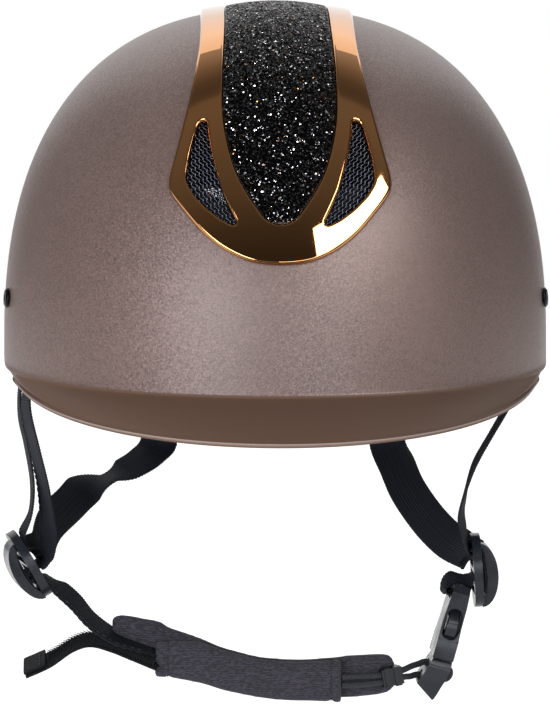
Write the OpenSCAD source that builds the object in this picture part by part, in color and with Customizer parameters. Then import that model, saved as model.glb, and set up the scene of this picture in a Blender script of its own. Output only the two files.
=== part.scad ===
// Riding helmet with a moulded peak, a polished vent frame over a glitter inlay,
// a four-point harness with a side-release buckle, and a dial fit system at the nape.
// Millimetres. +Z is up, the peak looks along -Y, +X is the wearer's left.
// The origin is the centre of the head opening, on the rim plane.

/* [Shell] */
// Width over the shell at its widest level
shell_w = 220; // [212:1:228]
// Length of the shell, front to back, without the peak
shell_l = 262; // [252:1:272]
// Height of the crown above the widest level
crown_h = 137.5; // [130:0.5:145]
// Height of the widest level above the rim plane
belly_z = 20; // [18:0.5:22]
// Fullness of the dome's profile, where 2 is an ellipse
fullness = 2.43; // [2.2:0.01:2.6]
// Thickness of the shell's wall
shell_t = 3; // [2.4:0.1:3.6]
// How far the shell's lower edge curls inward at the sides and the back
curl = 5; // [4:0.25:6]
// Height of the shell's lower edge at the ears
ear_z = 8; // [6:0.5:10]
// Height of the shell's lower edge at the nape
nape_z = -2; // [-4:0.5:0]

/* [Peak] */
// How far the peak reaches past the shell at the front
peak_reach = 37; // [30:1:44]
// How far the peak's lip lies below the rim plane at the front
peak_drop = 4.6; // [2:0.2:7]
// Height of the crease between the shell and the peak, at the front
crease_z = 10.2; // [9:0.2:12]
// Half width of the peak's outline where it leaves the shell
peak_half_w = 106.5; // [104:0.5:108]
// Thickness of the peak's plate
peak_t = 2.8; // [2.2:0.1:3.4]

/* [Liner] */
// Thickness of the impact liner
liner_t = 22; // [18:0.5:24]
// Thickness of the comfort padding
pad_t = 6; // [4:0.5:7]
// Thickness of the cover over the liner's lower face
cover_t = 1.5; // [1:0.1:2.5]

/* [Vent frame] */
// How far the frame's face stands proud of the shell
frame_rise = 2.2; // [1.6:0.1:3]
// Width of the bevel round the frame and its vents
frame_bevel = 1.2; // [0.8:0.1:1.6]
// How far the inlay's crown stands proud of the shell
inlay_rise = 3.1; // [2.6:0.1:3.6]
// Thickness of the vent mesh
mesh_t = 0.8; // [0.6:0.1:1.2]
// How far the mesh runs past the vent on every side
mesh_lap = 1; // [0.6:0.1:1.4]

/* [Harness] */
// Width of the webbing
web_w = 16; // [14:0.5:17]
// Thickness of the webbing
web_t = 1.3; // [1:0.1:1.6]
// Diameter of the elastic cord
cord_d = 2.6; // [2.2:0.1:2.8]
// Diameter of the side screws' heads
screw_head_d = 8; // [7:0.25:9]
// Diameter of the side screws' shanks
screw_d = 4; // [3:0.25:5]
// Height of the divider's plate
divider_h = 30; // [28:0.5:32]
// Width of the divider's plate
divider_w = 25; // [24:0.5:27]
// Thickness of the divider's plate
divider_t = 3.6; // [3:0.2:4.4]

/* [Buckle] */
// Width of the buckle
buckle_w = 24; // [23:0.5:26]
// Thickness of the buckle
buckle_t = 8.6; // [8:0.2:9.6]
// Length of the receiving half
buckle_h = 31; // [30:0.5:34]
// Thickness of the receiving half's broad walls
buckle_wall = 1.6; // [1.3:0.1:1.9]
// Thickness of the release prongs
prong_t = 4.4; // [3.6:0.2:4.6]

/* [Fit system] */
// Diameter of the dial
dial_d = 21; // [19:0.5:22]
// Depth of the dial
dial_h = 7; // [6:0.5:8]
// Width of the cradle that holds the racks
cradle_w = 54; // [52:1:58]
// Height of the cradle
cradle_h = 22; // [21:0.5:24]
// Height of the fit band and its racks
band_h = 7; // [6:0.5:7.5]
// Thickness of the fit band and its racks
band_t = 2; // [1.6:0.1:2.4]
// Number of teeth on the pinion
pinion_teeth = 10; // [8:1:12]
// Module of the pinion's teeth
tooth_module = 1; // [0.9:0.05:1.1]

/* [Clearance] */
// Gap between pieces that are fitted together
fit_gap = 0.3; // [0.2:0.05:0.5]
// Gap round a piece that slides or turns
run_gap = 0.35; // [0.25:0.05:0.5]

/* [Hidden] */

half_w = shell_w / 2;
half_l = shell_l / 2;
power = 2 / fullness;
liner_out = -(shell_t + fit_gap);
liner_in = liner_out - liner_t;
SIDES = [-1, 1];

// Shell rows, as profile angles from the crown down to the widest level
OUTER_ROWS = [84, 76, 68, 60, 52, 44, 36, 28, 20, 12, 5];
INNER_ROWS = [8, 20, 32, 44, 56, 68, 80];
SHELL_STEPS = 72;
LINER_STEPS = 48;
// Room left under pieces that are seated on the dome's flat facets
seat_gap = fit_gap + 0.25;

function mix(a, b, k) = a + (b - a) * k;
function clamp01(k) = min(1, max(0, k));
function smooth(a, b, v) = let(k = clamp01((v - a) / (b - a))) k * k * (3 - 2 * k);
function unit(v) = v / norm(v);
function fold(t) = abs(t > 180 ? t - 360 : t);

// The harness and the fit system were laid out in a shell this wide and long, by its halves.
// Their stations keep their distance from its sides and its rear when those sizes change.
LAID_OUT = [110, 131];
function follow(p) = concat([p[0] + sign(p[0]) * (half_w - LAID_OUT[0]) * clamp01(abs(p[0]) / 90),
  p[1] + (half_l - LAID_OUT[1]) * clamp01(p[1] / 90)], [for (i = [2 : 1 : len(p) - 1]) p[i]]);
function follow_all(list) = [for (p = list) follow(p)];

// The dome: an elliptical plan under a superellipse profile, moved out by o
function dome(t, u, o) = let(r = pow(cos(u), power)) [
  (half_w + o) * r * sin(t), -(half_l + o) * r * cos(t), belly_z + (crown_h + o) * pow(sin(u), power)];
// A point of the wall below the widest level
function wall(t, z, o) = [(half_w + o) * sin(t), -(half_l + o) * cos(t), z];
// Above zero outside the dome: r is the distance from the long axis, a its angle from the front
function outside(a, x, o, r) = pow(pow(x / (half_w + o), 2) + pow(r * cos(a) / (half_l + o), 2),
  fullness / 2)
  + pow(r * sin(a) / (crown_h + o), fullness) - 1;
function reach(a, x, o, lo = 0, hi = 200, n = 20) = n == 0 ? (lo + hi) / 2 :
  let(m = (lo + hi) / 2) outside(a, x, o, m) > 0 ? reach(a, x, o, lo, m, n - 1) : reach(a, x, o, m, hi,
    n - 1);
// A point of the dome seen over the crown: a runs 0 to 180 from the front to the nape
function over(a, x, o) = let(r = reach(a, x, o)) [x, -r * cos(a), belly_z + r * sin(a)];
// The angle over the crown of a front point at half width x and height z
function angle_at(x, z) = let(k = pow(max(0, 1 - pow((z - belly_z) / crown_h, fullness)), 2 / fullness),
  y = half_l * sqrt(max(0, k - pow(x / half_w, 2)))) atan2(z - belly_z, y);

// Height of the shell's lower edge round the head
function peak_share(t) = 1 - smooth(76, 92, fold(t));
function edge_z(t) = let(f = fold(t),
  front = -peak_drop + 14.6 * pow(f / 80, 2),
  side = mix(ear_z, nape_z, smooth(110, 165, f))) mix(front, side, smooth(70, 92, f));
function crease_at(t) = crease_z + 2.8 * pow(min(fold(t), 92) / 70, 2);
function lip(t, out, up) = [(peak_half_w + out) * sin(t), -(half_l + peak_reach + out) * cos(t),
  edge_z(t) + up];

// Lower profile of the shell at the peak, from the wall out over the lip and back below
function peak_profile(t) = let(c = crease_at(t), root = wall(t, c, 0), rim = lip(t, 0, 1)) [
  wall(t, c + 3, 0), wall(t, c + 0.8, 0.5), mix(root, rim, 0.12),
  mix(root, rim, 0.45) + [0, 0, 0.7], mix(root, rim, 0.8) + [0, 0, 0.7],
  rim, lip(t, 0.6, -0.3), lip(t, -0.4, -peak_t + 1),
  mix(root, lip(t, -1, 1), 0.5) + [0, 0, 0.4 - peak_t], wall(t, c - peak_t - 0.6, -shell_t),
  wall(t, c + 3, -shell_t), wall(t, belly_z - 2, -shell_t)];
// Lower profile where the edge curls in
function curl_profile(t) = let(z = edge_z(t)) [
  wall(t, z + 9, 0), wall(t, z + 6.4, -0.08 * curl), wall(t, z + 4.6, -0.2 * curl),
  wall(t, z + 3, -0.36 * curl), wall(t, z + 1.6, -0.56 * curl),
  wall(t, z + 0.6, -0.76 * curl), wall(t, z, -curl), wall(t, z + 0.2, -curl - 1.2),
  wall(t, z + 1.6, -curl - 1.6), wall(t, z + 3.6, -curl * 0.36 - shell_t),
  wall(t, z + 7, -curl * 0.1 - shell_t), wall(t, belly_z - 2, -shell_t)];
function edge_profile(t) = let(p = peak_profile(t), c = curl_profile(t), k = peak_share(t))
  [for (i = [0 : len(p) - 1]) mix(c[i], p[i], k)];

// A closed solid through rings of points, with a point at each end
module ring_solid(rings, first, last) {
  n = len(rings[0]);
  m = len(rings);
  points = concat([first], [for (ring = rings) each ring], [last]);
  caps = [for (i = [0 : n - 1]) each [
    [0, 1 + (i + 1) % n, 1 + i],
    [1 + m * n, 1 + (m - 1) * n + i, 1 + (m - 1) * n + (i + 1) % n]]];
  sides = [for (r = [0 : m - 2], i = [0 : n - 1])
    let(a = 1 + r * n + i, b = 1 + r * n + (i + 1) % n) each [[a, b, b + n], [a, b + n, a + n]]];
  polyhedron(points, concat(caps, sides), convexity = 8);
}

// A closed band through sections that turn right-handed about its path
module band_solid(rings) {
  n = len(rings[0]);
  m = len(rings);
  sides = [for (r = [0 : m - 1], i = [0 : n - 1])
    let(a = r * n + i, b = r * n + (i + 1) % n, c = ((r + 1) % m) * n + (i + 1) % n,
      d = ((r + 1) % m) * n + i)
    each [[a, c, b], [a, d, c]]];
  polyhedron([for (ring = rings) each ring], sides, convexity = 8);
}

// A bar through sections of the same kind, closed at both ends
module bar_solid(sections) {
  n = len(sections[0]);
  m = len(sections);
  near = [[for (i = [0 : n - 1]) i]];
  far = [[for (i = [0 : n - 1]) m * n - 1 - i]];
  sides = [for (r = [0 : m - 2], i = [0 : n - 1])
    let(a = r * n + i, b = r * n + (i + 1) % n) each [[a, b + n, b], [a, a + n, b + n]]];
  polyhedron([for (s = sections) each s], concat(near, far, sides), convexity = 6);
}

// A plate from two grids of points, where keep(row, column) says which cells are there
module grid_solid(top, low, keep) {
  m = len(top);
  n = len(top[0]);
  shift = m * n;
  function there(r, c) = r >= 0 && c >= 0 && r < m - 1 && c < n - 1 && keep(r, c);
  faces = [for (r = [0 : m - 2], c = [0 : n - 2]) if (there(r, c))
    let(a = r * n + c, b = a + 1, d = a + n, e = d + 1)
    each concat([[a, d, e], [a, e, b], [a + shift, b + shift, e + shift], [a + shift, e + shift,
      d + shift]],
      there(r - 1, c) ? [] : [[a, b, b + shift], [a, b + shift, a + shift]],
      there(r + 1, c) ? [] : [[e, d, d + shift], [e, d + shift, e + shift]],
      there(r, c - 1) ? [] : [[d, a, a + shift], [d, a + shift, d + shift]],
      there(r, c + 1) ? [] : [[b, e, e + shift], [b, e + shift, b + shift]])];
  polyhedron(concat([for (row = top) each row], [for (row = low) each row]), faces, convexity = 10);
}

module outer_shell() {
  turns = [for (i = [0 : SHELL_STEPS - 1]) i * 360 / SHELL_STEPS];
  profiles = [for (t = turns) edge_profile(t)];
  outer = [for (u = OUTER_ROWS) [for (t = turns) dome(t, u, 0)]];
  belly = [[for (t = turns) wall(t, belly_z, 0)]];
  lower = [for (j = [0 : len(profiles[0]) - 1]) [for (p = profiles) p[j]]];
  inner = [for (u = INNER_ROWS) [for (t = turns) dome(t, u, -shell_t)]];
  color("#7c6a63") difference() {
    ring_solid(concat(outer, belly, lower, inner), [0, 0, belly_z + crown_h], [0, 0,
      belly_z + crown_h - shell_t]);
    vent_cuts(mesh_lap + 2 * fit_gap, half_l * 0.6, half_l + 10);
    screw_holes(screw_d + 2 * fit_gap);
  }
}

// Half widths at heights up the front: of the frame, the inlay and the vents' two sides
FRAME_EDGE = [[60.5, 12.5], [62.5, 17.2], [65, 21.9], [68.4, 26.6], [71.6, 30.2], [78.2, 36], [84.7, 41.2],
  [87.5, 42.2], [91.3, 41.8], [98, 40], [111.3, 36.5], [124.8, 33.4], [138.5, 30.9], [147, 30.2]];
INLAY_EDGE = [[73.4, 3], [75.6, 5.6], [78.4, 7.6], [81.7, 10], [85, 12.3], [91.5, 15.9], [98, 18.3],
  [104.8, 20], [111.4, 21.1], [118, 21.5], [131.6, 21.4], [145.5, 20.6], [150, 20.4]];
VENT_OUTER = [[73.4, 17.3], [75.6, 22], [79.5, 27.4], [84.1, 32.1], [88.7, 35.1], [91.4, 35.5], [98, 34.5],
  [104.7, 32.8], [111.8, 30.6]];
VENT_INNER = [[73.4, 16], [79.6, 19.1], [86.2, 22.1], [94.1, 24.4], [100.7, 26.1], [107.4, 27.3], [111.8,
  27.6]];

function by_angle(table) = [for (p = table) [angle_at(p[1], p[0]), p[1]]];
FRAME_A = by_angle(FRAME_EDGE);
INLAY_A = by_angle(INLAY_EDGE);
OUTER_A = by_angle(VENT_OUTER);
INNER_A = by_angle(VENT_INNER);
frame_low = FRAME_A[0][0];
vent_low = (OUTER_A[0][0] + INNER_A[0][0]) / 2;
vent_high = (OUTER_A[8][0] + INNER_A[6][0]) / 2;
function front_angle(a) = min(a, 180 - a);
function frame_half(a) = lookup(front_angle(a), FRAME_A);
function below_vent(a) = frame_half(a) / lookup(vent_low, FRAME_A);
function inlay_half(a) = let(f = front_angle(a)) f < vent_low - 0.01 ? 3 * below_vent(a) : lookup(f,
  INLAY_A);
function vent_half(a, table, crown) = let(f = front_angle(a))
  f < vent_low - 0.01 ? table[0][1] * below_vent(a) : f < vent_high ? lookup(f, table)
  : mix(table[len(table) - 1][1], crown, smooth(vent_high, 62, f));
function vent_out(a) = vent_half(a, OUTER_A, 27);
function vent_in(a) = vent_half(a, INNER_A, 25);
function vent_row(a) = let(f = front_angle(a)) f > vent_low - 0.01 && f < vent_high + 0.01;

VENT_ROWS = 9;
FRONT_ROWS = concat([frame_low, frame_low + 0.55], [mix(frame_low, vent_low, 0.55)],
  [for (i = [0 : VENT_ROWS]) mix(vent_low, vent_high, i / VENT_ROWS)], [for (i = [1 : 6]) mix(vent_high,
    90, i / 6)]);
FRAME_ROWS = concat(FRONT_ROWS, [for (i = [len(FRONT_ROWS) - 2 : -1 : 0]) 180 - FRONT_ROWS[i]]);
INLAY_ROWS = [for (a = FRAME_ROWS) if (front_angle(a) > vent_low - 0.01) a];

// Where the frame's columns run on one row, from the inlay outward, and how high they stand
function frame_columns(a) = let(i = inlay_half(a), v = vent_in(a), w = vent_out(a), e = frame_half(a),
  b = min(frame_bevel, (v - i) / 3, (e - w) / 3)) [i, i + b, v - b, v, w, w + b, e - b, e];
function frame_heights(a) = let(r = frame_rise, s = frame_rise - 0.8 * frame_bevel, v = vent_row(a) ? s : r,
  i = front_angle(a) > vent_low - 0.01 ? s : r) front_angle(a) < frame_low + 0.1 ? [for (k = [0 : 7]) s]
  : [i, r, r, v, v, r, r, s];

module vent_frame() {
  function both(list, sign) = concat([for (k = [7 : -1 : 0]) sign * list[k]], list);
  top = [for (a = FRAME_ROWS) let(x = both(frame_columns(a), -1), h = both(frame_heights(a), 1))
    [for (k = [0 : 15]) over(a, x[k], h[k])]];
  low = [for (a = FRAME_ROWS) let(x = both(frame_columns(a), -1)) [for (k = [0 : 15]) over(a, x[k],
    seat_gap)]];
  function solid(r, c) = let(a = (FRAME_ROWS[r] + FRAME_ROWS[r + 1]) / 2, f = front_angle(a))
    !((f > vent_low && c == 7) || (f > vent_low && f < vent_high && (c == 3 || c == 11)));
  color("#b07a45") grid_solid(top, low, function(r, c) solid(r, c));
}

module crown_inlay() {
  shares = [-1, -0.8, -0.4, 0, 0.4, 0.8, 1];
  function half(a) = inlay_half(a) - fit_gap;
  function rise(s) = mix(inlay_rise, frame_rise - 0.3, pow(abs(s), 2));
  ends = [for (i = [0 : len(INLAY_ROWS) - 1]) let(a = INLAY_ROWS[i])
    i == 0 ? a + 0.15 : i == len(INLAY_ROWS) - 1 ? a - 0.15 : a];
  top = [for (a = ends) [for (s = shares) over(a, s * half(a), rise(s))]];
  low = [for (a = ends) [for (s = shares) over(a, s * half(a), seat_gap)]];
  color("#1d1a1c") grid_solid(top, low, function(r, c) true);
}

// A flat net lying in a vent, with its border under the frame
MESH_GAPS_UP = 7;
MESH_GAPS_OVER = 3;
MESH_BAR = 0.34;
function mesh_lines(gaps) = [for (i = [0 : 2 * gaps + 1])
  (floor(i / 2) + (i % 2) * MESH_BAR) / (gaps + MESH_BAR)];
module vent_mesh(side, rear) {
  lap_angle = 0.5 * mesh_lap;
  rows = [for (k = mesh_lines(MESH_GAPS_UP)) mix(vent_low - lap_angle, vent_high + lap_angle, k)];
  columns = mesh_lines(MESH_GAPS_OVER);
  function at(f, k, o) = let(g = min(max(f, vent_low), vent_high), a = rear ? 180 - f : f,
    x = mix(lookup(g, INNER_A) - mesh_lap, lookup(g, OUTER_A) + mesh_lap, k)) over(a, side * x, o);
  flip = (side > 0) != rear;
  order = flip ? columns : [for (i = [len(columns) - 1 : -1 : 0]) columns[i]];
  top = [for (f = rows) [for (k = order) at(f, k, 0)]];
  low = [for (f = rows) [for (k = order) at(f, k, -mesh_t)]];
  color("#26262a") grid_solid(top, low, function(r, c) !(r % 2 == 1 && c % 2 == 1));
}
module front_mesh_left() { vent_mesh(1, false); }
module front_mesh_right() { vent_mesh(-1, false); }
module rear_mesh_left() { vent_mesh(1, true); }
module rear_mesh_right() { vent_mesh(-1, true); }

// The vents' outlines grown by g, cut through along Y between two distances from the middle
module vent_cuts(g, near, far) {
  n = len(VENT_OUTER) - 1;
  function out(p, dz) = [p[1] + g, p[0] + dz];
  function inn(p, dz) = [p[1] - g, p[0] + dz];
  outline = concat([out(VENT_OUTER[0], -g)], [for (i = [1 : n - 1]) out(VENT_OUTER[i], -0.5 * g)],
    [out(VENT_OUTER[n], g), inn(VENT_INNER[6], g)], [for (i = [5 : -1 : 1]) inn(VENT_INNER[i], 0)],
    [inn(VENT_INNER[0], -g)]);
  for (front = SIDES, side = SIDES)
    mirror([side < 0 ? 1 : 0, 0, 0]) mirror([0, front < 0 ? 1 : 0, 0])
      translate([0, far, 0]) rotate([90, 0, 0]) linear_extrude(far - near) polygon(outline);
}

// The side screws stand square to the shell
screw_y = -29.5;
screw_z = 42;
screw_x = half_w * sqrt(pow(1 - pow((screw_z - belly_z) / crown_h, fullness),
  2 / fullness) - pow(screw_y / half_l, 2));
screw_yaw = atan2(screw_y / pow(half_l, 2), screw_x / pow(half_w, 2));
screw_pitch = 3.2;
anchor_t = 2;
anchor_in = shell_t + 1.1;
groove_front = web_w / 2 + 4;
groove_rear = groove_front + web_w / 2 + 2.5;
module at_screw(side) {
  translate([side * screw_x, screw_y, screw_z]) rotate([0, 0, side > 0 ? screw_yaw : 180 - screw_yaw])
    rotate([0, 90 - screw_pitch, 0]) children();
}
module screw_holes(d) {
  for (side = SIDES) at_screw(side) translate([0, 0, -shell_t - 6]) cylinder(h = shell_t + 12, d = d,
    $fn = 32);
}
// The groove in the liner that holds the anchor and lets the strap down to the edge
module strap_grooves() {
  depth = anchor_in + anchor_t + fit_gap;
  for (side = SIDES) at_screw(side) translate([0, side > 0 ? groove_rear : groove_front, 0]) rotate([90,
    0, 0])
    linear_extrude(groove_front + groove_rear)
      polygon([[-14, 2], [62, 2], [62, -shell_t - 12], [30, -shell_t - 9], [12, -depth], [-14, -depth]]);
}
module side_screw(side) {
  color("#101012") at_screw(side) difference() {
    union() {
      translate([0, 0, fit_gap]) cylinder(h = 0.7, d = screw_head_d, $fn = 40);
      translate([0, 0, fit_gap + 0.7]) cylinder(h = 0.7, d1 = screw_head_d, d2 = screw_head_d - 2,
        $fn = 40);
      translate([0, 0, -anchor_in - anchor_t]) cylinder(h = anchor_in + anchor_t + fit_gap + 0.1,
        d = screw_d, $fn = 32);
    }
    translate([0, 0, fit_gap + 0.6]) cylinder(h = 2, d = screw_d * 0.75, $fn = 6);
  }
}
module side_screw_left() { side_screw(1); }
module side_screw_right() { side_screw(-1); }
module strap_anchor(side) {
  color("#8a8d90") at_screw(side) translate([0, 0, -anchor_in - anchor_t]) difference() {
    translate([-9, -web_w / 2 - 1.5, 0]) cube([21, web_w + 3, anchor_t]);
    translate([0, 0, -1]) cylinder(h = anchor_t + 2, d = screw_d + 2 * fit_gap, $fn = 32);
    translate([5.5, -web_w / 2 + 1, -1]) cube([3, web_w - 2, anchor_t + 2]);
  }
}
module strap_anchor_left() { strap_anchor(1); }
module strap_anchor_right() { strap_anchor(-1); }

// The impact liner fills the shell and is hollow for the head
function liner_z(t) = mix(edge_z(t) + 3.2, crease_at(t) - peak_t + 1, peak_share(t));
function liner_curl(t, share) = share * curl * (1 - peak_share(t));
LINER_ROWS = [80, 68, 56, 44, 32, 20, 8];
module liner_blank() {
  turns = [for (i = [0 : LINER_STEPS - 1]) i * 360 / LINER_STEPS];
  function row(z, o, share) = [for (t = turns) wall(t, liner_z(t) + z, o - liner_curl(t, share))];
  outer = [for (u = LINER_ROWS) [for (t = turns) dome(t, u, liner_out)]];
  inner = [for (i = [6 : -1 : 0]) [for (t = turns) dome(t, LINER_ROWS[i], liner_in)]];
  ring_solid(concat(outer, [row(8, liner_out, 0.05), row(4, liner_out, 0.16), row(1, liner_out, 0.42),
    row(0, liner_out, 0.7), row(0, liner_in + 2, 0), row(2.5, liner_in, 0)], inner),
    [0, 0, belly_z + crown_h + liner_out], [0, 0, belly_z + crown_h + liner_in]);
}
module impact_liner() {
  color("#2b2b2e") difference() {
    liner_blank();
    vent_cuts(0, half_l * 0.3, half_l - shell_t - 8);
    strap_grooves();
    temple_holes();
    for (side = SIDES) rear_pocket(side);
  }
}

// A skin over the liner's lower face
module liner_cover() {
  turns = [for (i = [0 : LINER_STEPS - 1]) i * 360 / LINER_STEPS];
  function edge(t) = mix(-curl - 2.4, -shell_t - 0.8, peak_share(t));
  function section(t) = let(z = liner_z(t) - fit_gap) [
    wall(t, z, edge(t) - 0.6), wall(t, z - cover_t / 2, edge(t)), wall(t, z - cover_t, edge(t) - 0.8),
    wall(t, z - cover_t, liner_in + 4), wall(t, z - cover_t / 2, liner_in + 2.2), wall(t, z, liner_in + 3)];
  color("#19191b") difference() {
    band_solid([for (t = turns) section(t)]);
    strap_grooves();
    temple_holes();
    for (side = SIDES) rear_pocket(side);
  }
}

// Comfort padding: a quilted crown pad and a band round the brow
CROWN_ROWS = [80, 68, 56, 44, 34];
module crown_pad() {
  turns = [for (i = [0 : LINER_STEPS - 1]) i * 360 / LINER_STEPS];
  out = liner_in - fit_gap;
  function quilt(t, u) = 0.55 + 0.45 * pow(abs(cos(2 * t)), 0.5) * (0.75 + 0.25 * abs(cos(5 * u)));
  outer = [for (u = CROWN_ROWS) [for (t = turns) dome(t, u, u > 40 ? out : out - 0.6)]];
  hem = [[for (t = turns) dome(t, 31, out - 0.4 * pad_t)]];
  inner = [for (i = [len(CROWN_ROWS) - 1 : -1 : 0]) [for (t = turns)
    dome(t, CROWN_ROWS[i], out - pad_t * quilt(t, CROWN_ROWS[i]))]];
  color("#1c1c1f") ring_solid(concat(outer, hem, inner), [0, 0, belly_z + crown_h + out],
    [0, 0, belly_z + crown_h + out - pad_t * 0.7]);
}
brow_top = 42;
brow_end = 116;
module brow_pad() {
  out = liner_in - fit_gap;
  turns = [for (i = [0 : 26]) mix(-brow_end, brow_end, i / 26)];
  function puff(t, k) = pad_t * (1 - 0.6 * smooth(brow_end - 12, brow_end,
    abs(t))) * k * (0.8 + 0.2 * abs(cos(4.5 * t)));
  function section(t) = let(z = liner_z(t) + 4, h = brow_top - z) [
    wall(t, z + 0.08 * h, out), wall(t, z, out - puff(t, 0.35)), wall(t, z + 0.12 * h, out - puff(t, 0.85)),
    wall(t, z + 0.5 * h, out - puff(t, 1)), wall(t, z + 0.86 * h, out - 1 - puff(t, 0.85)),
    wall(t, z + h, out - 1 - puff(t, 0.35)), wall(t, z + 0.94 * h, out - 1), wall(t, z + 0.5 * h,
      out - 0.5)];
  color("#1c1c1f") bar_solid([for (t = turns) section(t)]);
}

// Rear anchors hang from the liner's lower face
REAR_ANCHOR = follow([50, 99, 0]);
rear_x = REAR_ANCHOR[0];
rear_y = REAR_ANCHOR[1];
rear_low = -6;
rear_top = 12;
rear_t = 2.6;
module rear_pocket(side) {
  translate([side * rear_x, rear_y, (rear_top - 5) / 2]) rotate([0, 0, side * -26])
    cube([web_w + 5 + 2 * fit_gap, rear_t + 2 * fit_gap, rear_top + 5 + 2 * fit_gap], center = true);
}
module rear_anchor(side) {
  color("#141416") translate([side * rear_x, rear_y, 0]) rotate([0, 0, side * -26]) difference() {
    translate([-web_w / 2 - 2.5, -rear_t / 2, rear_low]) cube([web_w + 5, rear_t, rear_top - rear_low]);
    translate([-web_w / 2 - 0.6, -rear_t, rear_low + 2.2]) cube([web_w + 1.2, 2 * rear_t, 3.6]);
  }
}
module rear_anchor_left() { rear_anchor(1); }
module rear_anchor_right() { rear_anchor(-1); }

// Smooth curve through a list of stations, at parameter s
function curve(p, s) = let(i = max(0, min(floor(s), len(p) - 2)), f = s - i, a = p[max(i - 1, 0)], b = p[i],
  c = p[i + 1], d = p[min(i + 2, len(p) - 1)])
  0.5 * (2 * b + (c - a) * f + (2 * a - 5 * b + 4 * c - d) * f * f + (3 * b - a - 3 * c + d) * f * f * f);
function place(v) = [v[0], v[1], v[2]];
function across(v) = [v[3], v[4], v[5]];
function heading(p, s) = unit(place(curve(p, min(s + 0.05, len(p) - 1))) - place(curve(p, max(s - 0.05,
  0))));
function slip(v, along) = unit(v - along * (v * along));

// Webbing through stations [x, y, z, and the direction of its width]
function web_section(p, s, w, t) = let(c = place(curve(p, s)), h = heading(p, s),
  side = slip(across(curve(p, s)), h),
  up = cross(h, side)) [c + side * w / 2 + up * t / 2, c - side * w / 2 + up * t / 2,
  c - side * w / 2 - up * t / 2, c + side * w / 2 - up * t / 2];
// A strap that is pulled slantwise through its last slot gathers to a share of its width
module webbing(path, steps = 2, w = web_w, t = web_t, gather = 1) {
  last = len(path) - 1;
  bar_solid([for (i = [0 : last * steps]) let(s = i / steps)
    web_section(path, s, w * mix(1, gather, smooth(last - 5, last - 2, s)), t)]);
}
// Round cord through stations that stay near a plane square to Y
function cord_section(p, s, d) = let(c = curve(p, s), h = heading(p, s), side = slip([0, 1, 0], h),
  up = cross(h, side))
  [for (k = [0 : 7]) c + d / 2 * (cos(45 * k) * side + sin(45 * k) * up)];

function turn_y(p, a) = [p[0] * cos(a) + p[2] * sin(a), p[1], -p[0] * sin(a) + p[2] * cos(a)];
function turn_z(p, a) = [p[0] * cos(a) - p[1] * sin(a), p[0] * sin(a) + p[1] * cos(a), p[2]];

// The dividers hang below the ears; their own +X faces away from the head
LEFT_DIVIDER = follow([83, -6, -70.5]);
RIGHT_DIVIDER = follow([-100.3, -8, -67.3]);
left_tilt = 1.4;
right_tilt = 30;
right_yaw = 12;
function on_divider(side, p) = side > 0 ? LEFT_DIVIDER + turn_y(p, left_tilt)
  : RIGHT_DIVIDER + turn_z(turn_y([-p[0], p[1], p[2]], -right_tilt), right_yaw);
function web_on(side, p) = let(v = on_divider(side, p), w = side > 0 ? [0, 1, 0] : turn_z([0, 1, 0],
  right_yaw))
  concat(v, w);
module at_divider(side) {
  if (side > 0) translate(LEFT_DIVIDER) rotate([0, left_tilt, 0]) children();
  if (side < 0) translate(RIGHT_DIVIDER) rotate([0, -right_tilt, right_yaw]) mirror([1, 0, 0]) children();
}
face = divider_t / 2;
run_x = face + fit_gap + web_t / 2;
slot_h = web_t + 2.1;
// Heights of the divider's slots: the two upper straps, the middle strap and the lower one
SLOT_Z = [9, 3.5, -1.5, -7.4];
module divider(side) {
  outline = [for (a = [0 : 9 : 351]) [divider_w / 2 * sign(cos(a)) * pow(abs(cos(a)), 0.8),
    divider_h / 2 * sign(sin(a)) * pow(abs(sin(a)), 0.8)]];
  arch_w = divider_w * 0.56;
  function arch(rise, half) = [for (a = [0 : 12 : 180]) [face - 0.5 + (rise + 0.5) * sin(a),
    -1.5 + half * cos(a)]];
  color("#1b1b1e") at_divider(side) difference() {
    union() {
      rotate([90, 0, 90]) translate([0, 0, -face]) linear_extrude(divider_t) polygon(outline);
      translate([0, arch_w / 2, 0]) rotate([90, 0, 0]) linear_extrude(arch_w) difference() {
        polygon(arch(6.6, 13));
        polygon(arch(4.4, 10.8));
      }
    }
    for (z = SLOT_Z)
      translate([-face - 1, -web_w / 2 - 0.8, z - slot_h / 2]) cube([divider_t + 1.2, web_w + 1.6, slot_h]);
  }
}
module divider_left() { divider(1); }
module divider_right() { divider(-1); }

// Straps from the side anchors, round the shell's lower edge, to the dividers
function strap_root(side) = [for (p = [[101.7, -30, 28], [100.4, -30.3, 19], [98.6, -30.6, 11], [97.6,
  -30.6, 5]])
  follow([side * p[0], p[1], p[2], side * 0.2, 0.98, 0])];
RIGHT_FRONT = concat(strap_root(-1), follow_all([[-97.4, -30, -4, -0.36, 0.93, 0], [-94.9, -26.5, -20,
  -0.38, 0.92, 0],
  [-92.9, -21, -34, -0.4, 0.91, 0], [-91.6, -16, -48, -0.45, 0.89, 0],
  [-91.8, -12.8, -56, -0.4, 0.91, 0], [-92.6, -10.8, -61.6, -0.3, 0.95, 0], [-94, -9.8, -65.3, -0.21,
    0.98, 0]]),
  [for (p = [[-3.2, -1.4, -1.1], [0, -1.6, -1.7], [face + 0.9, -1.6, -1.9], [run_x + 0.1, -1.6,
    -3.4]]) web_on(-1, p)]);
LEFT_FRONT = concat(strap_root(1), follow_all([[92, -29, -3, 0, 1, 0], [86, -27, -13.5, 0, 1, 0], [79.5,
  -24, -25.5, 0, 1, 0],
  [75.8, -19.5, -36.5, 0, 1, 0], [74.6, -14.5, -46, 0, 1, 0], [76.4, -9.5, -54.5, 0, 1, 0]]),
  [for (p = [[-2.8, 0, 9.6], [0, 0, 9], [face + 0.5, 0, 8.3], [run_x, 0, 6.6]]) web_on(1, p)]);
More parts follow.
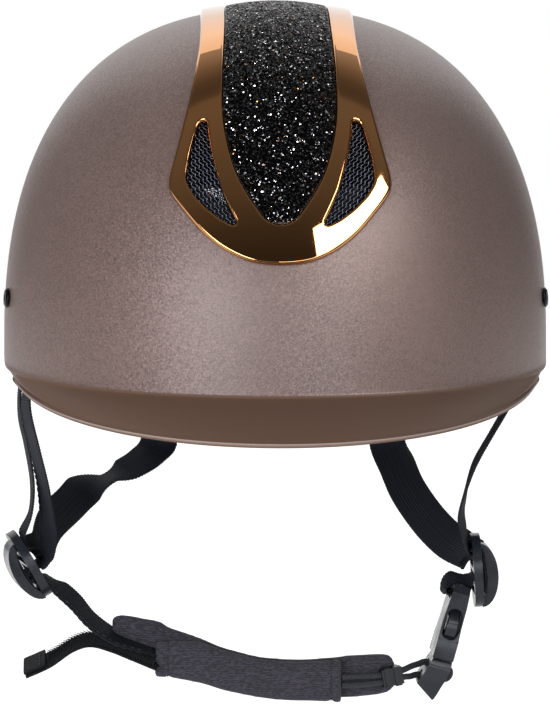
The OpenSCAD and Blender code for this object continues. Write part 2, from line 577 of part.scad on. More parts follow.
module front_strap_left() { color("#18181b") webbing(LEFT_FRONT); }
// The right strap's second strand comes back up from the divider beside the first
RIGHT_RETURN = concat(follow_all([[-100.4, -15.6, 12, -0.1, 1, 0], [-101.4, -15.4, 4, -0.1, 1, 0],
  [-99.9, -13.6, -15, 0, 1, 0], [-98.7, -13.6, -31, 0, 1, 0], [-99.3, -12.6, -42, 0, 1, 0]]),
  [for (p = [[-4.5, -1, 12.5], [-face - 0.8, 0, 9.4]]) web_on(-1, p)]);
module front_strap_right() {
  color("#18181b") webbing(RIGHT_FRONT, gather = 0.72);
}
module return_strap_right() { color("#18181b") webbing(RIGHT_RETURN, 2, web_w - 3); }

// Straps from the rear anchors, twisting forward to the dividers
function rear_root(side) = [for (p = [[51.6, 102.6, -1.4], [50, 99, -2], [48.9, 96.2, -4.5], [48.6, 95.2,
  -9]])
  follow([side * p[0], p[1], p[2], side * 0.9, -0.44, 0])];
RIGHT_REAR = concat(rear_root(-1), follow_all([[-48.5, 94, -26.5, -0.9, 0.3, 0.1], [-53, 80, -33, -0.75,
  -0.1, 0.35],
  [-58.5, 65, -37, -0.6, -0.45, 0.35], [-65.5, 47, -38.6, -0.45, -0.8, 0.1], [-73.5, 32, -39, -0.35,
    -0.75, 0.4],
  [-79.5, 21, -41, -0.2, -0.3, 0.9], [-86, 11, -48, -0.1, 0.4, 0.9], [-92.2, 8, -53, -0.1, 0.7, 0.7],
  [-97, 1.5, -58.3, 0, 0.95, 0.3]]),
  [for (p = [[-3, 4.4, 4.2], [0, 4.4, 3.5], [face + 0.6, 4.4, 3.4]]) web_on(-1, p)]);
LEFT_REAR = concat(rear_root(1), follow_all([[50.3, 94, -27.5, 0.98, 0.1, 0.15], [54.3, 80, -36.5, 0.85,
  0.25, 0.45],
  [58.9, 59, -44.8, 0.78, 0.3, 0.55], [64.2, 37, -52.4, 0.65, 0.4, 0.65], [68.6, 18, -57.6, 0.4, 0.45, 0.8],
  [72.2, 6, -61.8, 0.2, 0.5, 0.85], [75.6, 0, -64.8, 0.1, 0.95, 0.3]]),
  [for (p = [[-3.2, 3.6, 3.8], [0, 3.6, 3.5], [face + 0.6, 3.6, 3.4]]) web_on(1, p)]);
module rear_strap_left() { color("#18181b") webbing(LEFT_REAR, gather = 0.55); }
module rear_strap_right() { color("#18181b") webbing(RIGHT_REAR, gather = 0.5); }

// Chin strap and its hook-faced tail, which both end in the pad's sleeve
CHIN_STRAP = concat([for (p = [[run_x + 0.1, 0, -4.8], [face + 0.9, 0, -6.7], [0, 0, -7.4], [-3.4, 0,
  -8.3]]) web_on(-1, p)],
  follow_all([[-88, -8.6, -78, -0.1, 1, 0.1], [-81.6, -10, -85.4, 0.05, 0.97, 0.2], [-75.6, -11.6, -92.4,
    0.1, 0.95, 0.25],
  [-69, -13, -98, 0.05, 0.95, 0.25], [-61, -14, -101.2, 0, 0.95, 0.25], [-49.7, -14.5, -103.4, 0, 0.93,
    0.3]]));
module chin_strap() { color("#141417") webbing(CHIN_STRAP); }
HOOK_TAIL = follow_all([[-48.6, -14.5, -107.2, 0, 0.93, 0.3], [-60, -14, -104.2, 0, 0.95, 0.25], [-72,
  -13, -100.6, 0, 0.95, 0.2],
  [-79, -12, -100, 0.05, 0.95, 0.2], [-86, -11.5, -101.6, 0.1, 0.93, 0.25], [-94, -11, -106, 0.1, 0.92,
    0.3],
  [-101.6, -10.5, -110.5, 0.1, 0.92, 0.3]]);
module hook_tail() {
  color("#232327") {
    webbing(HOOK_TAIL, 2, web_w, 1.5);
    last = HOOK_TAIL[6];
    prior = curve(HOOK_TAIL, 5.2);
    lift = [0, 0, 1.75];
    webbing([concat(place(prior) + lift, across(prior)), concat(place(last) + lift, across(last))], 2,
      web_w, 1.6);
  }
}

// Pad: a soft back layer with a sleeve sewn to its front. Stations are [x, z, height, lean]
back_y = -10.5;
back_d = 5;
sleeve_d = 6;
sleeve_y = back_y - back_d / 2 - fit_gap - sleeve_d / 2;
PAD_BACK = [[-66.4, -91.6, 3], [-65.4, -91.7, 6.5], [-61, -92.2, 8.6], [-54, -93.6, 8.4], [-47.4, -96.2,
  10.6],
  [-45.8, -98.6, 14.4], [-42.6, -102.4, 18.4], [-30.5, -106.4, 18], [-18.5, -110.4, 16.4], [-2, -113.6,
    16], [14.5, -114.2, 16.6],
  [32, -113.3, 17.6], [43, -112.4, 17], [47, -112.1, 14], [48.6, -112, 8]];
PAD_SLEEVE = [[-45.6, -105.4, 13.6, -0.42], [-44.4, -105.2, 15.4, -0.4], [-41, -104.8, 16.4, -0.3],
  [-30.5, -106.8, 17.2], [-18.5, -110.6, 16.6],
  [-2, -113.8, 16.2], [14.5, -114.4, 17], [23, -114.2, 17.6], [25.5, -114.4, 18.4], [26.6, -114.4, 16.6]];
function pad_section(p, i, y, d) = let(up = [len(p[i]) > 3 ? p[i][3] : 0, 0, 1],
  full = min(1, (0.45 + 0.55 * smooth(0, 1.5, min(i, len(p) - 1 - i)))))
  [for (k = [0 : 30 : 330]) follow([p[i][0], y,
    p[i][1]]) + up * p[i][2] / 2 * sign(sin(k)) * pow(abs(sin(k)), 0.75)
    + [0, 1, 0] * full * d / 2 * sign(cos(k)) * pow(abs(cos(k)), 0.6)];
module chin_pad() {
  color("#2a2a2f") bar_solid([for (i = [0 : len(PAD_BACK) - 1]) pad_section(PAD_BACK, i, back_y, back_d)]);
}
module pad_sleeve() {
  color("#2f2f35") bar_solid([for (i = [0 : len(PAD_SLEEVE) - 1]) pad_section(PAD_SLEEVE, i, sleeve_y,
    sleeve_d)]);
}

// Side-release buckle. Its frame has +Z along the buckle's axis, up into the socket,
// Y along its width and X through its thickness, with the mouth at the origin.
BUCKLE = follow([67.4, -9.5, -105.4]);
buckle_tilt = 15.7;
mouth_h = 8;
window_top = 22;
prong_root = 6.4;
prong_reach = buckle_w / 2 - 0.2;
function on_buckle(p) = BUCKLE + turn_y(p, buckle_tilt);
module at_buckle() { translate(BUCKLE) rotate([0, buckle_tilt, 0]) children(); }
// Outlines drawn in Y and Z and raised along X, or drawn in X and Z and raised along Y
module along_x(depth) { rotate([90, 0, 90]) translate([0, 0,
  -depth / 2]) linear_extrude(depth) children(); }
module along_y(depth) { translate([0, depth / 2, 0]) rotate([90, 0, 0]) linear_extrude(depth) children(); }
module buckle_socket() {
  half = buckle_w / 2;
  thick = buckle_t / 2;
  gape = prong_t / 2 + run_gap;
  side_y = prong_reach - 2.2;
  color("#1b1b1e") at_buckle() difference() {
    intersection() {
      along_x(buckle_t + 2) polygon([[-half + 0.8, 0], [half - 0.8, 0], [half, 0.8], [half, mouth_h],
        [half - 1.6, mouth_h + 3],
        [half - 2.4, 15], [half - 1.6, window_top - 2], [half - 0.8, window_top + 1], [half - 0.8,
          buckle_h - 3],
        [half - 3, buckle_h], [-half + 3, buckle_h], [-half + 0.8, buckle_h - 3], [-half + 0.8,
          window_top + 1],
        [-half + 1.6, window_top - 2], [-half + 2.4, 15], [-half + 1.6, mouth_h + 3], [-half, mouth_h],
          [-half, 0.8]]);
      along_y(buckle_w + 2) polygon([[-thick + 0.5, 0], [thick - 0.5, 0], [thick, 0.6], [thick, mouth_h],
        [thick - 0.4, window_top], [thick - 0.9, buckle_h - 1], [thick - 1.9, buckle_h], [-thick + 1.9,
          buckle_h],
        [-thick + 0.9, buckle_h - 1], [-thick + 0.4, window_top], [-thick, mouth_h], [-thick, 0.6]]);
    }
    translate([-gape, -side_y, -1]) cube([2 * gape, 2 * side_y, window_top + 1.6]);
    for (side = SIDES) translate([0, side * half, 0]) along_y(half) hull() {
      translate([0, mouth_h + 4]) circle(r = thick - buckle_wall * 0.6, $fn = 32);
      translate([0, window_top - 4.5]) circle(r = thick - buckle_wall, $fn = 32);
    }
    translate([-buckle_t, -web_w / 2 - 0.8, 24.6]) cube([2 * buckle_t, web_w + 1.6, 3.2]);
  }
}
// The plug's wedge, with two holes for the cord and a tongue that guides it home
cord_hole = cord_d + 1;
CORD_Z = [-4.5, -10.3];
module buckle_plug() {
  wedge = [[-3.7, -run_gap], [4.3, -run_gap], [4.4, -16.2], [2.9, -18.6], [1.3, -19.6], [-7.3, -13.7],
    [-6.6, -11.6]];
  neck = prong_root + 3;
  color("#202024") at_buckle() difference() {
    union() {
      intersection() {
        along_y(buckle_w) polygon(wedge);
        along_x(30) polygon([[-neck, 0], [neck, 0], [neck + 1.4, -3], [neck + 1.4, -11], [neck + 0.4,
          -20], [-neck - 0.4, -20],
          [-neck - 1.4, -11], [-neck - 1.4, -3]]);
      }
      translate([-1.6, -2, -2]) cube([3.2, 4, 19]);
    }
    for (z = CORD_Z) translate([-12, -3, z - cord_hole / 2]) cube([24, 6, cord_hole]);
    for (side = SIDES) translate([0, side * (prong_root + 1.2), 0]) along_y(1.6) polygon([[-7, -2], [7,
      -2], [7, -3], [-7, -3]]);
  }
}
module prong(side) {
  reach = prong_reach;
  inner = prong_root - 0.6;
  outline = [[inner, 0], [reach - 2.6, 0], [reach - 2.6, mouth_h - 1], [reach - 2.4, mouth_h + 1.5],
    [reach - 0.5, mouth_h + 2.1],
    [reach, mouth_h + 3.6], [reach - 0.1, 15], [reach - 0.8, 17.2], [reach - 2.4, 18.8], [reach - 4.8,
      21.4],
    [reach - 6.4, 21.2], [reach - 6, 19.6], [reach - 4.4, 18], [reach - 3.5, 15.4], [reach - 3.3,
      mouth_h + 3.6],
    [inner + 1.9, mouth_h - 1], [inner + 1.2, 3]];
  color("#242428") at_buckle() mirror([0, side < 0 ? 1 : 0, 0]) along_x(prong_t) polygon(outline);
}
module prong_front() { prong(-1); }
module prong_back() { prong(1); }

// The webbing that joins the left divider to the socket's top bar
BUCKLE_STRAP = concat([for (p = [[face + 0.8, 0, -1.5], [0, 0, -1.5], [-face - 1, 0, -1.3]]) web_on(1, p)],
  follow_all([[75.4, -7.2, -70.8, 0, 1, 0], [71, -8.6, -72.8, 0, 1, 0], [68.6, -9.4, -76, 0, 1, 0]]),
  [for (p = [[-4.4, 0, 25.9], [-2.6, 0, 26.2], [2.8, 0, 26.2]]) concat(on_buckle(p), [0, 1, 0])]);
module buckle_strap() { color("#18181b") webbing(BUCKLE_STRAP); }

// The elastic cord runs from the sleeve through the crimp, round the plug's bar and back
cord_gap = 0.3;
crimp_tilt = 11;
crimp_yaw = 12;
crimp_l = 8.6;
CRIMP = follow([47, sleeve_y + 0.2, -112.6]);
pair = (cord_d + cord_gap) / 2;
crimp_end = crimp_l / 2 + 0.8;
function in_crimp(x, side) = CRIMP + turn_z(turn_y([x, 0, side * pair], -crimp_tilt), crimp_yaw);
CORD = concat(follow_all([[27, sleeve_y, -114.4 + pair], [33, sleeve_y - 0.4, -114 + pair]]),
  [in_crimp(-crimp_end, 1), in_crimp(0, 1), in_crimp(crimp_end, 1)],
  follow_all([[55.4, -12.6, -109], [58.4, -10.4, -108.4]]),
  [for (p = [[-5.4, -0.2, CORD_Z[0]], [0, 0, CORD_Z[0]], [4.2, 0, CORD_Z[0]], [6, 0, CORD_Z[0] - 0.8],
    [6.6, 0, (CORD_Z[0] + CORD_Z[1]) / 2], [6, 0, CORD_Z[1] + 0.8], [4.2, 0, CORD_Z[1]], [0, 0, CORD_Z[1]],
    [-7.6, -0.2, CORD_Z[1] - 0.1]]) on_buckle(p)],
  [follow([54.8, -12, -113.3]), in_crimp(crimp_end, -1), in_crimp(0, -1), in_crimp(-crimp_end, -1)],
  follow_all([[33, sleeve_y - 0.4, -114.6 - pair], [27, sleeve_y, -114.8 - pair]]));
module elastic_cord() {
  n = (len(CORD) - 1) * 2;
  color("#303035") bar_solid([for (i = [0 : n]) cord_section(CORD, i / 2, cord_d)]);
}
module cord_crimp() {
  h = 2 * cord_d + cord_gap + 1.6;
  d = cord_d + 2.2;
  color("#2c2c31") translate(CRIMP) rotate([0, -crimp_tilt, crimp_yaw]) difference() {
    union() {
      translate([-crimp_l / 2, -d / 2, -h / 2]) cube([crimp_l, d, h]);
      translate([-crimp_l / 2 + 1, -d / 2 - 0.5, -h / 2 - 0.4]) cube([crimp_l * 0.3, d + 0.5, h + 0.8]);
      translate([crimp_l / 2 - 1 - crimp_l * 0.3, -d / 2 - 0.5, -h / 2 - 0.4]) cube([crimp_l * 0.3,
        d + 0.5, h + 0.8]);
    }
    for (side = SIDES) translate([-crimp_l, 0, side * pair]) rotate([0, 90, 0]) cylinder(h = 2 * crimp_l,
      d = cord_d + 0.4, $fn = 32);
  }
}

// Fit system: a cradle under the liner's nape edge holds two toothed racks on one pinion
cradle_inset = 35;
cradle_y = half_l - cradle_inset;
cradle_z = -13.5;
cradle_wall = 1.6;
cover_y = cradle_y + cradle_wall;
LAYER = [cover_y + run_gap, cover_y + 2 * run_gap + band_t];
housing_y = LAYER[1] + band_t + run_gap;
back_face = housing_y + cradle_wall;
pitch_r = tooth_module * pinion_teeth / 2;
pitch = PI * tooth_module;
tip_r = pitch_r + 0.75 * tooth_module;
rack_tip = pitch_r - 0.75 * tooth_module;
rack_root = pitch_r + tooth_module;
rack_h = cradle_h - 2 * cradle_wall - 2 * run_gap;
rack_x = cradle_w / 2 - cradle_wall - run_gap;
rack_travel = 12;
module at_cradle() { translate([0, 0, cradle_z]) children(); }
// An outline in X and Z raised from one depth to another along Y
module layer(from, to) { translate([0, to, 0]) rotate([90, 0, 0]) linear_extrude(to - from) children(); }
module rounded(w, h, r) {
  union() {
    square([w, h - 2 * r], center = true);
    square([w - 2 * r, h], center = true);
    for (i = SIDES, j = SIDES) translate([i * (w / 2 - r), j * (h / 2 - r)]) circle(r = r, $fn = 32);
  }
}
module shaft(d, from, to) { translate([0, to, 0]) rotate([90, 0, 0]) cylinder(h = to - from, d = d,
  $fn = 40); }
pivot_d = 3;
shaft_d = 6;
screw_core = 2.6;
module cradle_housing() {
  color("#1f1f23") at_cradle() difference() {
    union() {
      layer(cover_y, back_face) rounded(cradle_w, cradle_h, 5);
      shaft(dial_d * 0.62, back_face - 0.2, back_face + 0.6);
    }
    layer(cover_y - 1, housing_y) rounded(cradle_w - 2 * cradle_wall, cradle_h - 2 * cradle_wall, 3.4);
    layer(cover_y - 1, housing_y) square([cradle_w + 2, band_h + 2 * run_gap], center = true);
    shaft(shaft_d + 2 * run_gap, housing_y - 1, back_face + 2);
  }
}
module cradle_cover() {
  color("#26262b") at_cradle() difference() {
    layer(cradle_y, cover_y) rounded(cradle_w, cradle_h, 5);
    shaft(pivot_d + 2 * run_gap, cradle_y - 1, cover_y + 1);
  }
}
module pinion() {
  root = pitch_r - 1.1 * tooth_module;
  m = tooth_module;
  tooth = [[-0.75 * m, root - 0.6], [-0.65 * m, root], [-0.35 * m, tip_r], [0.35 * m, tip_r], [0.65 * m,
    root],
    [0.75 * m, root - 0.6]];
  color("#c8c6c0") at_cradle() difference() {
    union() {
      layer(LAYER[0], LAYER[1] + band_t) union() {
        circle(r = root, $fn = 48);
        for (i = [0 : pinion_teeth - 1]) rotate(i * 360 / pinion_teeth) polygon(tooth);
      }
      shaft(pivot_d, cradle_y + 0.2, LAYER[0] + 0.1);
      shaft(shaft_d, LAYER[1] + band_t - 0.1, back_face + 2.4);
    }
    shaft(screw_core, LAYER[0] + 1.2, back_face + 3);
  }
}
dial_y = back_face + 0.6 + run_gap;
module dial_knob() {
  grips = 16;
  color("#17171a") at_cradle() difference() {
    union() {
      shaft(dial_d, dial_y, dial_y + dial_h - 1);
      translate([0, dial_y + dial_h, 0]) rotate([90, 0, 0]) cylinder(h = 1, d1 = dial_d - 2, d2 = dial_d,
        $fn = 64);
    }
    for (i = [0 : grips - 1]) rotate([0, i * 360 / grips, 0]) translate([0, 0, dial_d / 2 + 0.6])
      shaft(2.6, dial_y - 1, dial_y + dial_h + 1);
    shaft(shaft_d + 0.1, dial_y - 1, back_face + 2.5);
    shaft(3.3, dial_y - 1, dial_y + dial_h + 1);
    shaft(6.4, dial_y + dial_h - 2.6, dial_y + dial_h + 1);
  }
}
module dial_screw() {
  color("#8f9296") at_cradle() difference() {
    union() {
      shaft(5.8, dial_y + dial_h - 2.6, dial_y + dial_h - 0.8);
      shaft(screw_core - 0.2, LAYER[0] + 2.4, dial_y + dial_h - 2.5);
    }
    layer(dial_y + dial_h - 1.9, dial_y + dial_h) union() {
      square([3.6, 0.8], center = true);
      square([0.8, 3.6], center = true);
    }
  }
}
// side +1 is the left rack, toothed above the pinion; -1 the right one, toothed below it
module rack(side) {
  clear = tip_r + 0.5;
  window = rack_travel + clear;
  far = rack_x - 0.1;
  y = side > 0 ? LAYER[0] : LAYER[1];
  count = floor((window + clear) / pitch);
  color("#3a3a40") at_cradle() layer(y, y + band_t) mirror([side > 0 ? 0 : 1, 0]) mirror([0,
    side > 0 ? 0 : 1]) union() {
    difference() {
      union() {
        polygon([[-clear - 2.4, -rack_h / 2], [far - 3, -rack_h / 2], [far, 3 - rack_h / 2], [far,
          rack_h / 2 - 3],
          [far - 3, rack_h / 2], [-clear - 2.4, rack_h / 2]]);
        translate([far - 1, -band_h / 2]) square([cradle_w / 2 + 2.4 - far + 1, band_h]);
      }
      translate([-clear, -clear]) square([clear + window, clear + rack_root]);
    }
    for (i = [0 : count - 1]) translate([-1.5 * pitch + i * pitch, 0])
      polygon([[-0.72, rack_root + 0.3], [-0.62, rack_root], [-0.33, rack_tip], [0.33, rack_tip], [0.62,
        rack_root], [0.72, rack_root + 0.3]]);
  }
}
module rack_left() { rack(1); }
module rack_right() { rack(-1); }

// Fit bands run from the racks round the head to pins in the liner at the temples
temple = follow([87, -20, 4]);
temple_pin_d = 5;
temple_pin_top = 18;
function band_path(side) = let(y = (side > 0 ? LAYER[0] : LAYER[1]) + band_t / 2, x0 = cradle_w / 2 + 3)
  [for (p = concat([[x0, y, cradle_z], [35.5, y - 2, cradle_z + 0.4]], follow_all([[45, 88.6, -12], [57,
    75, -9.6],
    [68, 54, -6.4], [76, 30, -2.6], [80, 8, 1], [82, -8, 3.4]]), [temple + [-0.6, 5, 0], temple]))
    [side * p[0], p[1], p[2], 0, 0, 1]];
module fit_band(side) {
  color("#2b2b30") union() {
    webbing(band_path(side), 2, band_h, band_t);
    translate([side * temple[0], temple[1], temple[2] - band_h / 2]) cylinder(h = band_h,
      d = temple_pin_d + 2, $fn = 32);
    translate([side * temple[0], temple[1], temple[2]]) cylinder(h = temple_pin_top - temple[2],
      d = temple_pin_d, $fn = 32);
  }
}
module temple_holes() {
  for (side = SIDES) translate([side * temple[0], temple[1], temple[2]])
    cylinder(h = temple_pin_top - temple[2] + 1, d = temple_pin_d + 2 * fit_gap, $fn = 32);
}
module fit_band_left() { fit_band(1); }
module fit_band_right() { fit_band(-1); }

// A soft pad on the cradle's front and the strip that the cradle hangs from
nape_d = 6;
module nape_pad() {
  y = cradle_y - fit_gap;
  rows = [[0, 0.94], [-0.12, 1], [-0.5, 1], [-0.85, 0.9], [-1, 0.7]];
  function ring(r) = [for (a = [0 : 15 : 345]) let(s = sin(a), c = cos(a))
    [cradle_w * 0.5 * r[1] * sign(s) * pow(abs(s), 0.6), y + nape_d * r[0],
      cradle_z + cradle_h * 0.48 * r[1] * sign(c) * pow(abs(c), 0.6)]];
  color("#1c1c1f") ring_solid([for (r = rows) ring(r)], [0, y, cradle_z], [0, y - nape_d * 0.92, cradle_z]);
}
HANGER = follow_all([[0, 101.8, 46, 1, 0, 0], [0, 103.2, 36, 1, 0, 0], [0, 103.5, 22, 1, 0, 0], [0, 103.2,
  10, 1, 0, 0],
  [0, 101.6, 2, 1, 0, 0], [0, 100.4, cradle_z + cradle_h / 2 + 0.3, 1, 0, 0]]);
module cradle_hanger() { color("#2b2b30") webbing(HANGER, 2, 14, 1.2); }

outer_shell();
vent_frame();
crown_inlay();
front_mesh_left();
front_mesh_right();
rear_mesh_left();
rear_mesh_right();
impact_liner();
liner_cover();
crown_pad();
brow_pad();
side_screw_left();
side_screw_right();
strap_anchor_left();
strap_anchor_right();
rear_anchor_left();
rear_anchor_right();
front_strap_left();
front_strap_right();
return_strap_right();
rear_strap_left();
rear_strap_right();
divider_left();
divider_right();
chin_strap();
hook_tail();
chin_pad();
pad_sleeve();
elastic_cord();
cord_crimp();
buckle_strap();
buckle_socket();
buckle_plug();
prong_front();
prong_back();
cradle_housing();
cradle_cover();
nape_pad();
dial_knob();
pinion();
dial_screw();
rack_left();
rack_right();
fit_band_left();
fit_band_right();
cradle_hanger();
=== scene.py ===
"""A riding helmet with its harness, buckle and fit system, dressed for a product picture.

Sizes are in millimetres here and become metres where a mesh is made.
"""
import logging
import math
import random
from collections.abc import Callable, Iterable, Sequence
from dataclasses import dataclass, field
from enum import Enum

import bmesh
import bpy
from bmesh.types import BMesh
from mathutils import Matrix, Vector, noise
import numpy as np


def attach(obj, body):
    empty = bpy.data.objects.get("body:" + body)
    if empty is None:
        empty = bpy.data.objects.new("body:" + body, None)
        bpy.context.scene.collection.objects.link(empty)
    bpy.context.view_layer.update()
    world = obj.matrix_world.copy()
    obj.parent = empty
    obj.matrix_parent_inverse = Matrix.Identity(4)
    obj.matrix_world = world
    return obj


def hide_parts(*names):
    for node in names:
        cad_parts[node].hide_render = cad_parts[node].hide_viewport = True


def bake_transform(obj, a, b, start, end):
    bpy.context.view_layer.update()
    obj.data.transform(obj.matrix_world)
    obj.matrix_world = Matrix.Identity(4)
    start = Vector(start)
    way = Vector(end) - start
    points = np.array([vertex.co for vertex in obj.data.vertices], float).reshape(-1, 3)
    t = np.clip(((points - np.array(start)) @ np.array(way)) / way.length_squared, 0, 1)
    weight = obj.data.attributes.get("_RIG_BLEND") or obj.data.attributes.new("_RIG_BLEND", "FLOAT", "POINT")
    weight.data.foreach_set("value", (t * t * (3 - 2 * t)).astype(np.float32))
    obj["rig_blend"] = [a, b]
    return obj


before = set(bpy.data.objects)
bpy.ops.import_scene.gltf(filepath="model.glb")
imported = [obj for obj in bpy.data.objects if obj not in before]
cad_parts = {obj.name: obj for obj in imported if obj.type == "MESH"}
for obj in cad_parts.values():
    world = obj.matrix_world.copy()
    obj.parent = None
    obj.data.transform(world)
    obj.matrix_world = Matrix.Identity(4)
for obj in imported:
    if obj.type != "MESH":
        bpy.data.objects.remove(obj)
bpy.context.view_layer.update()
LOG = logging.getLogger("riding_helmet")
MM = 0.001

Place = Callable[[int, int], Vector]
Station = tuple[float, ...]
Tree, Socket, Thing = bpy.types.NodeTree, bpy.types.NodeSocket, bpy.types.Object


def mix(a, b, share: float):
    """Goes from a to b, for numbers and for vectors."""
    return a + (b - a) * share


def smooth(low: float, high: float, value: float) -> float:
    """Eases from 0 at low to 1 at high."""
    share = min(1.0, max(0.0, (value - low) / (high - low)))
    return share * share * (3 - 2 * share)


def bow(share: float) -> float:
    """Height of a quarter circle, for a rounded end: 0 at 0 and 1 from 1 on."""
    left = 1 - min(1.0, max(0.0, share))
    return math.sqrt(1 - left * left)


def power_sign(value: float, exponent: float) -> float:
    """Raises the size of a value to a power and keeps its sign, for squared-off ovals."""
    return math.copysign(abs(value) ** exponent, value)


def turn_y(point: Sequence[float], degrees: float) -> Vector:
    """Turns a point about Y as the solids' source does."""
    c, s = math.cos(math.radians(degrees)), math.sin(math.radians(degrees))
    return Vector((point[0] * c + point[2] * s, point[1], -point[0] * s + point[2] * c))


def turn_z(point: Sequence[float], degrees: float) -> Vector:
    """Turns a point about Z as the solids' source does."""
    c, s = math.cos(math.radians(degrees)), math.sin(math.radians(degrees))
    return Vector((point[0] * c - point[1] * s, point[0] * s + point[1] * c, point[2]))


def toward(azimuth: float, rise: float) -> Vector:
    """The direction at an angle to the right of the front and an angle up, both in radians."""
    return Vector((math.sin(azimuth) * math.cos(rise), -math.cos(azimuth) * math.cos(rise), math.sin(rise)))


def running(points: Sequence[Vector]) -> list[float]:
    """The distance from the first point to each point of a line."""
    run = [0.0]
    for a, b in zip(points, points[1:]):
        run.append(run[-1] + (b - a).length)
    return run


# Finishes


def linear(code: str) -> tuple[float, float, float, float]:
    """Turns an sRGB hex colour into the linear colour that the shaders use.

    Args:
        code: The colour as #rrggbb.

    Returns:
        Linear red, green and blue, with an alpha of 1.
    """
    channels = [int(code[i:i + 2], 16) / 255 for i in (1, 3, 5)]
    red, green, blue = (c / 12.92 if c <= 0.04045 else ((c + 0.055) / 1.055) ** 2.4 for c in channels)
    return red, green, blue, 1.0


def feed(tree: Tree, node: bpy.types.Node, sockets: dict) -> None:
    """Sets a node's inputs: an output socket is linked and a constant is written.

    Args:
        tree: The node tree that holds the node.
        node: The node.
        sockets: Input names or numbers, each with its output socket or constant.
    """
    for name, value in sockets.items():
        if isinstance(value, Socket):
            tree.links.new(value, node.inputs[name])
        else:
            node.inputs[name].default_value = value


def add_node(tree: Tree, kind: str, sockets: dict | None = None, **settings) -> bpy.types.Node:
    """Adds a shader node with its settings, its constants and its links.

    Args:
        tree: The node tree that gets the node.
        kind: The node's type.
        sockets: Input names or numbers, each with a constant or an output socket to link.
        settings: Properties of the node.

    Returns:
        The new node.
    """
    node = tree.nodes.new(kind)
    for name, value in settings.items():
        setattr(node, name, value)
    feed(tree, node, sockets or {})
    return node


def calc(tree: Tree, operation: str, *values, kind: str = "Math") -> Socket:
    """One step of arithmetic on numbers or sockets, or on vectors with the kind VectorMath."""
    return add_node(tree, f"ShaderNode{kind}", dict(enumerate(values)), operation=operation).outputs[0]


def scaled(tree: Tree, vector, factor) -> Socket:
    """A vector or colour times a factor."""
    return add_node(tree, "ShaderNodeVectorMath", {0: vector, "Scale": factor}, operation="SCALE").outputs[0]


def remap(tree: Tree, value, low: float, high: float, start: float = 0.0,
          end: float = 1.0) -> Socket:
    """Turns a value that goes from start to end into one that goes from low to high."""
    return add_node(tree, "ShaderNodeMapRange", {"Value": value, "From Min": start, "From Max": end,
                                                 "To Min": low, "To Max": high}).outputs[0]


def tint(tree: Tree, share, first, second) -> Socket:
    """Goes from a first colour to a second one."""
    return add_node(tree, "ShaderNodeMix", {0: share, 6: first, 7: second}, data_type="RGBA").outputs[2]


def speckle(tree: Tree, where, size_mm: float, detail: float) -> Socket:
    """Noise with specks of about a size in millimetres."""
    return add_node(tree, "ShaderNodeTexNoise", {"Vector": where, "Scale": 1000 / size_mm,
                                                 "Detail": detail}).outputs["Fac"]


def bump(tree: Tree, height, strength: float, distance: float) -> Socket:
    """The normal of a surface with a relief, its depth in metres."""
    return add_node(tree, "ShaderNodeBump", {"Height": height, "Strength": strength,
                                             "Distance": distance}).outputs["Normal"]


def leaned(tree: Tree, cells, amount) -> Socket:
    """The surface's normal, leaned in each cell by the cell's own random colour."""
    lone = calc(tree, "SUBTRACT", cells, (0.5, 0.5, 0.5), kind="VectorMath")
    normal = add_node(tree, "ShaderNodeNewGeometry").outputs["Normal"]
    tilted = calc(tree, "ADD", normal, scaled(tree, lone, amount), kind="VectorMath")
    return calc(tree, "NORMALIZE", tilted, kind="VectorMath")


class Pattern(Enum):
    """Where a finish reads its pattern from."""

    OBJECT = "Object"
    ALONG = "UV"


@dataclass(frozen=True)
class Finish:
    """A surface: what it is made of and how it was made."""

    name: str
    colour: str
    roughness: float = 0.5
    metallic: float = 0.0

    def dress(self, tree: Tree, shader: bpy.types.Node) -> None:
        """Adds the pattern that the real surface shows."""

    def place(self, tree: Tree, pattern: Pattern = Pattern.OBJECT) -> Socket:
        """Gives the coordinates of the piece itself, in metres."""
        return add_node(tree, "ShaderNodeTexCoord").outputs[pattern.value]

    def material(self) -> bpy.types.Material:
        """Makes the material once and hands it out after that.

        Returns:
            The Blender material of this finish.
        """
        known = bpy.data.materials.get(self.name)
        if known:
            return known
        made = bpy.data.materials.new(self.name)
        made.use_nodes = True
        tree = made.node_tree
        shader = tree.nodes["Principled BSDF"]
        feed(tree, shader, {"Base Color": linear(self.colour), "Roughness": self.roughness,
                            "Metallic": self.metallic})
        self.dress(tree, shader)
        made.diffuse_color = linear(self.colour)
        return made


